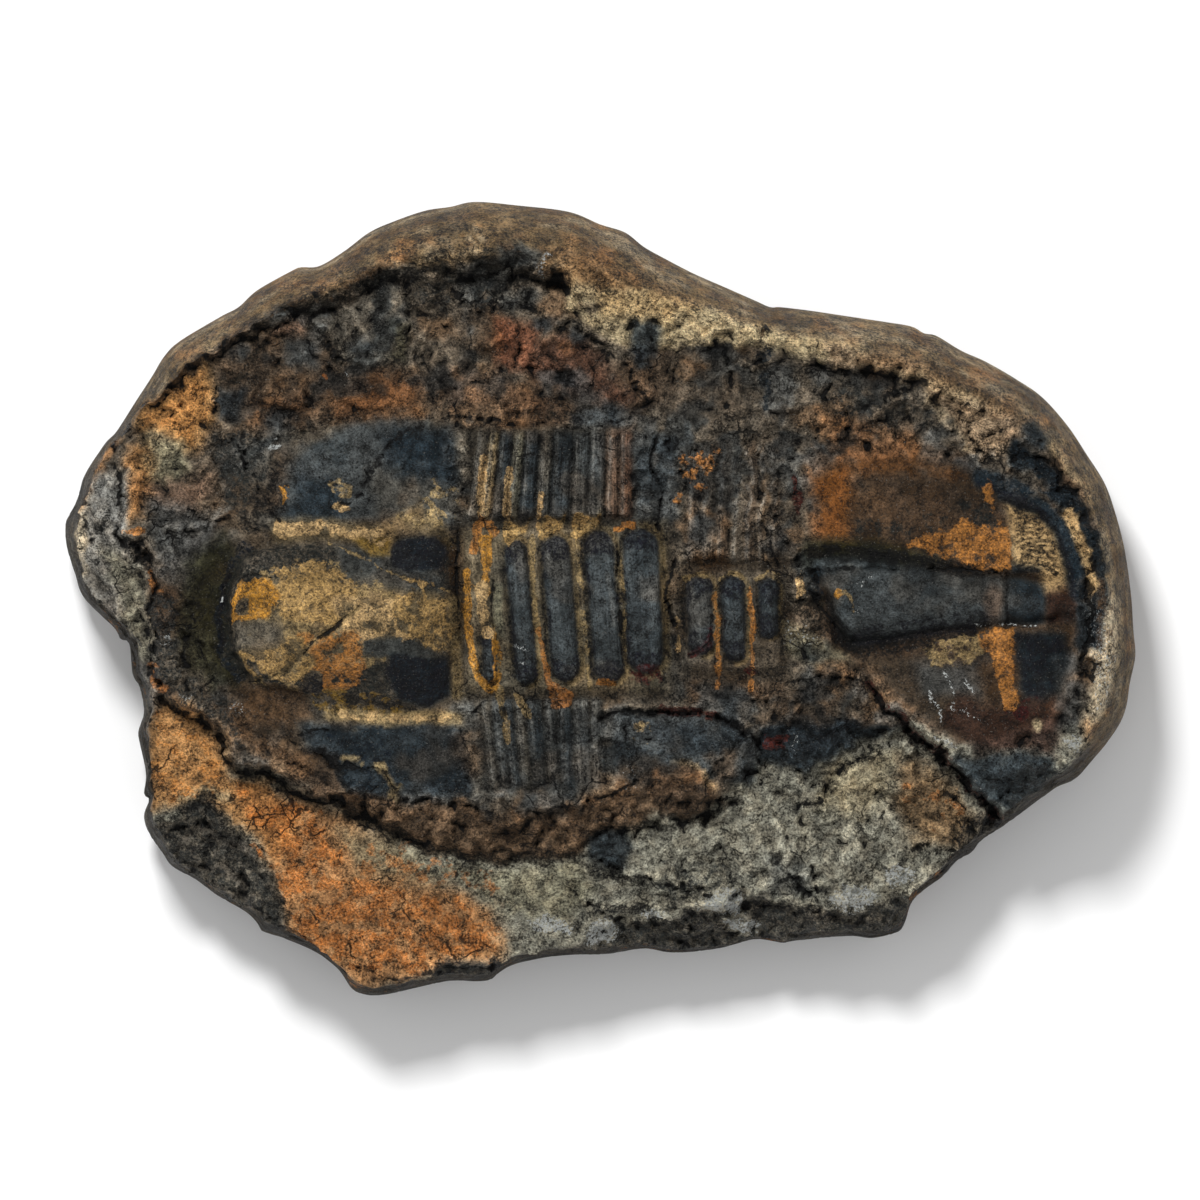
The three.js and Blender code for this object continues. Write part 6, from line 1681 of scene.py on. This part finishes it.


# Fine grain, dark pits, painted glints and, on ribbed shell, thin lines: changes the colour, and gives a
# height
def grainGroup():
    group, given, result = newGroup("stoneGrain", {
        "Vector": "Vector", "Colour": "Color", "Grain Scale": 2400.0, "Mottle Scale": 620.0, "Contrast": 0.5,
        "Pit Scale": 1100.0, "Pit Depth": 0.5, "Streak": 0.0, "Streak Place": 0.0, "Warmth": 0.6,
        "Crackle": 0.8, "Glints": 0.4,
    }, {"Colour": "Color", "Height": "Float"})
    desk = NodeDesk(group)
    grain = desk.noise(given["Vector"], given["Grain Scale"], 3, 0.75)
    mottle = desk.noise(given["Vector"], given["Mottle Scale"], 4, 0.65)
    pits = desk.noise(given["Vector"], given["Pit Scale"], 3, 0.7)
    pit = desk.math("MULTIPLY", desk.spread(pits, 0.36, 0.45, 1.0, 0.0), given["Pit Depth"])
    apart = desk.add("ShaderNodeSeparateXYZ", {0: given["Vector"]}).outputs
    lengthwise = desk.math("MULTIPLY", apart["Y"], 0.05)
    lines = desk.add("ShaderNodeCombineXYZ", {0: given["Streak Place"], 1: lengthwise}).outputs[0]
    thread = desk.noise(lines, 1700.0, 3, 0.7)
    threads = desk.math("MULTIPLY", desk.spread(thread, 0.36, 0.64, -1.0, 1.0, "LINEAR"), given["Streak"])
    both = desk.math("ADD", desk.math("MULTIPLY", grain, 0.6), desk.math("MULTIPLY", mottle, 0.4))
    centred = desk.spread(both, 0.4, 0.6, -1.0, 1.0, "LINEAR")
    factor = desk.math("ADD", desk.math("MULTIPLY", centred, given["Contrast"]), 1.0)
    factor = desk.math("ADD", factor, desk.math("MULTIPLY", threads, 0.5))
    crackle, facet = desk.crackle(given["Vector"], given["Crackle"])
    factor = desk.math("ADD", factor, desk.math("MULTIPLY", facet, 0.34))
    shaded = desk.math("MULTIPLY", factor, desk.math("SUBTRACT", 1.0, pit))
    shaded = desk.math("MULTIPLY", shaded, desk.math("SUBTRACT", 1.0, crackle))
    kept = desk.math("MAXIMUM", shaded, 0.1)
    tint = desk.add("ShaderNodeCombineColor", {0: kept, 1: kept, 2: kept}).outputs[0]
    warm = desk.noise(given["Vector"], 380.0, 3, 0.6)
    warmMask = desk.math("MULTIPLY", desk.spread(warm, 0.42, 0.62, 0.0, 1.0), given["Warmth"])
    speckled = desk.mix(1.0, given["Colour"], tint, "MULTIPLY")
    warmer = desk.mix(1.0, speckled, fixedTones["warm"], "MULTIPLY")
    tinted = desk.mix(warmMask, speckled, warmer)
    # painted glints: sparse pale specks standing in for highlights on the grains
    glint = desk.noise(given["Vector"], 3600.0, 2, 0.5)
    glintMask = desk.math("MULTIPLY", desk.spread(glint, 0.64, 0.72, 0.0, 1.0), given["Glints"])
    group.links.new(desk.mix(glintMask, tinted, fixedTones["glint"]), result["Colour"])
    height = desk.math("SUBTRACT", both, desk.math("MULTIPLY", pit, 0.3))
    height = desk.math("ADD", height, desk.math("MULTIPLY", facet, 0.4))
    height = desk.math("SUBTRACT", height, desk.math("MULTIPLY", crackle, 0.5))
    height = desk.math("ADD", height, desk.math("MULTIPLY", threads, 0.14))
    group.links.new(height, result["Height"])
    return group


# Painted shade: thin black lines in the cracks and hollows, with uneven width
def crackShadeGroup():
    group, given, result = newGroup("crackAndHollowShade", {"Vector": "Vector", "Colour": "Color", "Nearness": 0.0},
                                    {"Colour": "Color", "Mask": "Float"})
    desk = NodeDesk(group)
    waver = desk.noise(given["Vector"], 900.0, 3, 0.6)
    reach = desk.math("ADD", given["Nearness"], desk.spread(waver, 0.35, 0.65, -0.16, 0.12, "LINEAR"))
    mask = desk.spread(reach, 0.72, 0.9, 0.0, 0.92)
    group.links.new(desk.mix(mask, given["Colour"], fixedTones["crack"]), result["Colour"])
    group.links.new(mask, result["Mask"])
    return group


# Pale specks: rubbed scuffs where the stone was knocked or scraped, and painted highlights where it shines
def scuffAndHighlightGroup():
    group, given, result = newGroup("paleScuffsAndHighlights", {
        "Vector": "Vector", "Colour": "Color", "Cover": 0.0, "Speck Scale": 1500.0,
    }, {"Colour": "Color", "Mask": "Float"})
    desk = NodeDesk(group)
    speck = desk.noise(given["Vector"], given["Speck Scale"], 4, 0.7)
    even = desk.spread(speck, 0.34, 0.66, 0.0, 1.0, "LINEAR")
    firm = desk.math("MULTIPLY", given["Cover"], given["Cover"])
    over = desk.math("SUBTRACT", desk.math("MULTIPLY", firm, 1.1), even)
    mask = desk.spread(over, 0.0, 0.2, 0.0, 0.75)
    group.links.new(desk.mix(mask, given["Colour"], fixedTones["scuff"]), result["Colour"])
    group.links.new(mask, result["Mask"])
    return group


finishes = {
    "splitRock": {"blotch": 430.0, "grain": 2600.0, "mottle": 560.0, "contrast": 0.85, "pit": 900.0,
                  "pitDepth": 0.35, "rough": (0.9, 0.6), "bump": 0.0024, "scuff": 2200.0, "warmth": 0.5,
                  "crackle": 0.9, "glints": 0.32},
    "weatheredRind": {"blotch": 330.0, "grain": 2400.0, "mottle": 460.0, "contrast": 1.0, "pit": 700.0,
                      "pitDepth": 0.5, "rough": (0.85, 0.64), "bump": 0.0018, "scuff": 2000.0, "warmth": 0.6,
                      "crackle": 0.45, "glints": 0.25},
    "fossilShell": {"blotch": 430.0, "grain": 2700.0, "mottle": 560.0, "contrast": 0.75, "pit": 1200.0,
                    "pitDepth": 0.3, "rough": (0.72, 0.5), "bump": 0.001, "scuff": 2600.0, "warmth": 0.15,
                    "crackle": 0.25, "glints": 0.2},
}


def finish(name, groups):
    values = finishes[name]
    material = bpy.data.materials.new(name)
    material.use_nodes = True
    tree = material.node_tree
    desk = NodeDesk(tree)
    surface = tree.nodes["Principled BSDF"]
    place = desk.add("ShaderNodeTexCoord").outputs["Object"]
    painted = {}
    for label, output in (("stoneGround", "Color"), ("stoneStain", "Color"), ("stoneShade", "Color"),
                          ("stainCover", "Fac"), ("scuffAndHighlightCover", "Fac"), ("crackShade", "Fac"),
                          ("shadeCover", "Fac"), ("streakCover", "Fac"), ("streakPlace", "Fac")):
        painted[label] = desk.add("ShaderNodeAttribute", attribute_name=label).outputs[output]
    split = desk.add("ShaderNodeGroup", node_tree=groups["crack"])
    shaded = desk.add("ShaderNodeGroup", node_tree=groups["stain"])
    stained = desk.add("ShaderNodeGroup", node_tree=groups["stain"])
    grained = desk.add("ShaderNodeGroup", node_tree=groups["grain"])
    scuffsAndHighlights = desk.add("ShaderNodeGroup", node_tree=groups["scuff"])
    wanted = (
        (shaded, {"Vector": place, "Ground": painted["stoneGround"], "Stain": painted["stoneShade"],
                  "Cover": painted["shadeCover"], "Blotch Scale": values["blotch"] * 1.35, "Strength": 0.96}),
        (stained, {"Vector": place, "Ground": shaded.outputs["Colour"], "Stain": painted["stoneStain"],
                   "Cover": painted["stainCover"], "Blotch Scale": values["blotch"]}),
        (grained, {"Vector": place, "Colour": stained.outputs["Colour"], "Grain Scale": values["grain"],
                   "Mottle Scale": values["mottle"], "Contrast": values["contrast"],
                   "Pit Scale": values["pit"], "Pit Depth": values["pitDepth"],
                   "Streak": painted["streakCover"], "Streak Place": painted["streakPlace"],
                   "Warmth": values["warmth"], "Crackle": values["crackle"], "Glints": values["glints"]}),
        (scuffsAndHighlights, {"Vector": place, "Colour": grained.outputs["Colour"], "Cover": painted["scuffAndHighlightCover"],
                   "Speck Scale": values["scuff"]}),
        (split, {"Vector": place, "Colour": scuffsAndHighlights.outputs["Colour"], "Nearness": painted["crackShade"]}),
    )
    for node, links in wanted:
        desk.feed(node, links)
    tree.links.new(split.outputs["Colour"], surface.inputs["Base Color"])
    dull, sheen = values["rough"]
    rough = desk.spread(grained.outputs["Height"], 0.4, 0.6, sheen, dull)
    tree.links.new(rough, surface.inputs["Roughness"])
    raised = desk.math("ADD", grained.outputs["Height"], desk.math("MULTIPLY", stained.outputs["Mask"], 0.12))
    raised = desk.math("SUBTRACT", raised, desk.math("MULTIPLY", split.outputs["Mask"], 0.6))
    bump = desk.add("ShaderNodeBump", {"Height": raised, "Distance": values["bump"], "Strength": 1.0})
    tree.links.new(bump.outputs["Normal"], surface.inputs["Normal"])
    surface.inputs["Specular IOR Level"].default_value = gloss["specular"]
    return material


def dressStone(stone, paint, corners):
    groups = {"stain": stainGroup(), "grain": grainGroup(), "scuff": scuffAndHighlightGroup(),
              "crack": crackShadeGroup()}
    for name in finishes:
        stone.data.materials.append(finish(name, groups))
    shape = stone.data
    centres = np.empty(len(shape.polygons) * 3)
    shape.polygons.foreach_get("center", centres)
    x, y, z = centres.reshape(-1, 3).T / metresPerMm
    chosen = faceFinish(x, y, z).astype(np.int32)
    shape.polygons.foreach_set("material_index", chosen)
    shape.polygons.foreach_set("use_smooth", chosen > 0)
    storeColours(stone, paint, *corners.T)
    print("stone dressed")


corners, quads, topFaces, underFaces = slabShape()
stone = stoneObject(corners, quads, topFaces, underFaces)
print("stone made")
dressStone(stone, paintStone(corners), corners)

# Sand grains and crumbs that stick out of the split rock
grit = {
    "perSquareMm": 0.78,
    "smallest": 0.12,
    "largest": 0.34,
    "flatness": 0.6,
    "narrowness": 0.8,
    "turn": (0.5, 0.5, 6.28),  # most that a grain is tilted and turned, in radians
    "seed": 11,
}


def gritTree(material):
    tree = bpy.data.node_groups.new("rockGrit", "GeometryNodeTree")
    tree.interface.new_socket("Geometry", in_out="INPUT", socket_type="NodeSocketGeometry")
    wanted = {"Grains per Square Metre": grit["perSquareMm"] / metresPerMm ** 2,
              "Smallest": grit["smallest"] * metresPerMm, "Largest": grit["largest"] * metresPerMm,
              "Flatness": grit["flatness"], "Seed": grit["seed"]}
    values = {}
    for label, value in wanted.items():
        kind = "NodeSocketInt" if isinstance(value, int) else "NodeSocketFloat"
        values[tree.interface.new_socket(label, in_out="INPUT", socket_type=kind).identifier] = value
    tree.interface.new_socket("Geometry", in_out="OUTPUT", socket_type="NodeSocketGeometry")
    desk = NodeDesk(tree)
    given = tree.nodes.new("NodeGroupInput").outputs
    share = desk.add("GeometryNodeInputNamedAttribute", {"Name": "gritShare"}, data_type="FLOAT").outputs[0]
    density = desk.math("MULTIPLY", share, given["Grains per Square Metre"])
    points = desk.add("GeometryNodeDistributePointsOnFaces", {"Mesh": given["Geometry"], "Density": density,
                                                              "Seed": given["Seed"]})
    grain = desk.add("GeometryNodeMeshIcoSphere", {"Radius": 1.0, "Subdivisions": 1}).outputs["Mesh"]
    sizes = {2: given["Smallest"], 3: given["Largest"], "Seed": given["Seed"]}
    size = desk.add("FunctionNodeRandomValue", sizes, data_type="FLOAT").outputs[1]
    narrow = desk.math("MULTIPLY", size, grit["narrowness"])
    low = desk.math("MULTIPLY", size, given["Flatness"])
    scale = desk.add("ShaderNodeCombineXYZ", {0: size, 1: narrow, 2: low}).outputs[0]
    turns = {0: (0, 0, 0), 1: grit["turn"], "Seed": given["Seed"]}
    spin = desk.add("FunctionNodeRandomValue", turns, data_type="FLOAT_VECTOR").outputs[0]
    tilted = {"Rotation": points.outputs["Rotation"], "Rotate By": spin}
    turned = desk.add("FunctionNodeRotateRotation", tilted, rotation_space="LOCAL").outputs[0]
    placed = desk.add("GeometryNodeInstanceOnPoints", {"Points": points.outputs["Points"], "Instance": grain,
                                                       "Rotation": turned, "Scale": scale})
    real = desk.add("GeometryNodeRealizeInstances", {0: placed.outputs["Instances"]}).outputs[0]
    dressed = desk.add("GeometryNodeSetMaterial", {"Geometry": real, "Material": material}).outputs[0]
    end = tree.nodes.new("NodeGroupOutput")
    tree.links.new(dressed, end.inputs["Geometry"])
    return tree, values


def gritObject(stone):
    piece = bpy.data.objects.new("rockGrit", stone.data.copy())
    bpy.context.scene.collection.objects.link(piece)
    maker = piece.modifiers.new("rockGrit", "NODES")
    maker.node_group, values = gritTree(stone.data.materials["splitRock"])
    for identifier, value in values.items():
        maker[identifier] = value
    seen = piece.evaluated_get(bpy.context.evaluated_depsgraph_get())
    shape = bpy.data.meshes.new_from_object(seen)
    piece.modifiers.remove(maker)
    piece.data = shape
    places = np.empty(len(shape.vertices) * 3)
    shape.vertices.foreach_get("co", places)
    shape.vertices.foreach_set("co", np.clip(places.reshape(-1, 3), cadBox[0], cadBox[1]).ravel())
    print("grains", len(shape.polygons) // 20, "triangles", len(shape.polygons))
    return piece


grains = gritObject(stone)
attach(grains, "root")
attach(stone, "root")
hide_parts("fossil_slab")

# Plain pale floor, soft key light from behind the rim, camera straight above
studio = {
    "worldStrength": 0.64,
    "keyWatts": 7.8,
    "keySize": 0.17,
    "keyPlace": (-0.18, 0.5, 0.76),
    "frameWidthMm": 192.0,
    "frameLevelMm": 20.0,
    "lens": 400.0,
    "sensor": 36.0,
    "floorHalf": 3.0,
    "floorTone": (0.87, 0.87, 0.87, 1),
    "floorRoughness": 0.9,
    "farthest": 20,
}


def setStudio():
    scene = bpy.context.scene
    scene.view_settings.view_transform = "Standard"
    world = bpy.data.worlds.new("studio")
    scene.world = world
    world.use_nodes = True
    sky = world.node_tree.nodes["Background"]
    sky.inputs["Color"].default_value = (1, 1, 1, 1)
    sky.inputs["Strength"].default_value = studio["worldStrength"]
    lamp = bpy.data.lights.new("keyLight", "AREA")
    lamp.energy = studio["keyWatts"]
    lamp.size = studio["keySize"]
    key = bpy.data.objects.new("keyLight", lamp)
    key.location = studio["keyPlace"]
    key.rotation_euler = (-Vector(studio["keyPlace"])).to_track_quat("-Z", "Y").to_euler()
    scene.collection.objects.link(key)
    half = studio["floorHalf"]
    shape = bpy.data.meshes.new("floor")
    shape.from_pydata([(-half, -half, 0), (half, -half, 0), (half, half, 0), (-half, half, 0)], [],
                      [(0, 1, 2, 3)])
    floor = bpy.data.objects.new("floor", shape)
    scene.collection.objects.link(floor)
    paper = bpy.data.materials.new("floorPaper")
    paper.use_nodes = True
    surface = paper.node_tree.nodes["Principled BSDF"]
    surface.inputs["Base Color"].default_value = studio["floorTone"]
    surface.inputs["Roughness"].default_value = studio["floorRoughness"]
    shape.materials.append(paper)
    camera = bpy.data.objects.new("camera", bpy.data.cameras.new("camera"))
    camera.data.lens = studio["lens"]
    camera.data.sensor_width = studio["sensor"]
    distance = studio["frameWidthMm"] * metresPerMm * studio["lens"] / studio["sensor"]
    camera.location = (0, 0, distance + studio["frameLevelMm"] * metresPerMm)
    camera.data.clip_end = studio["farthest"]
    scene.collection.objects.link(camera)
    scene.camera = camera


setStudio()
print("studio set")
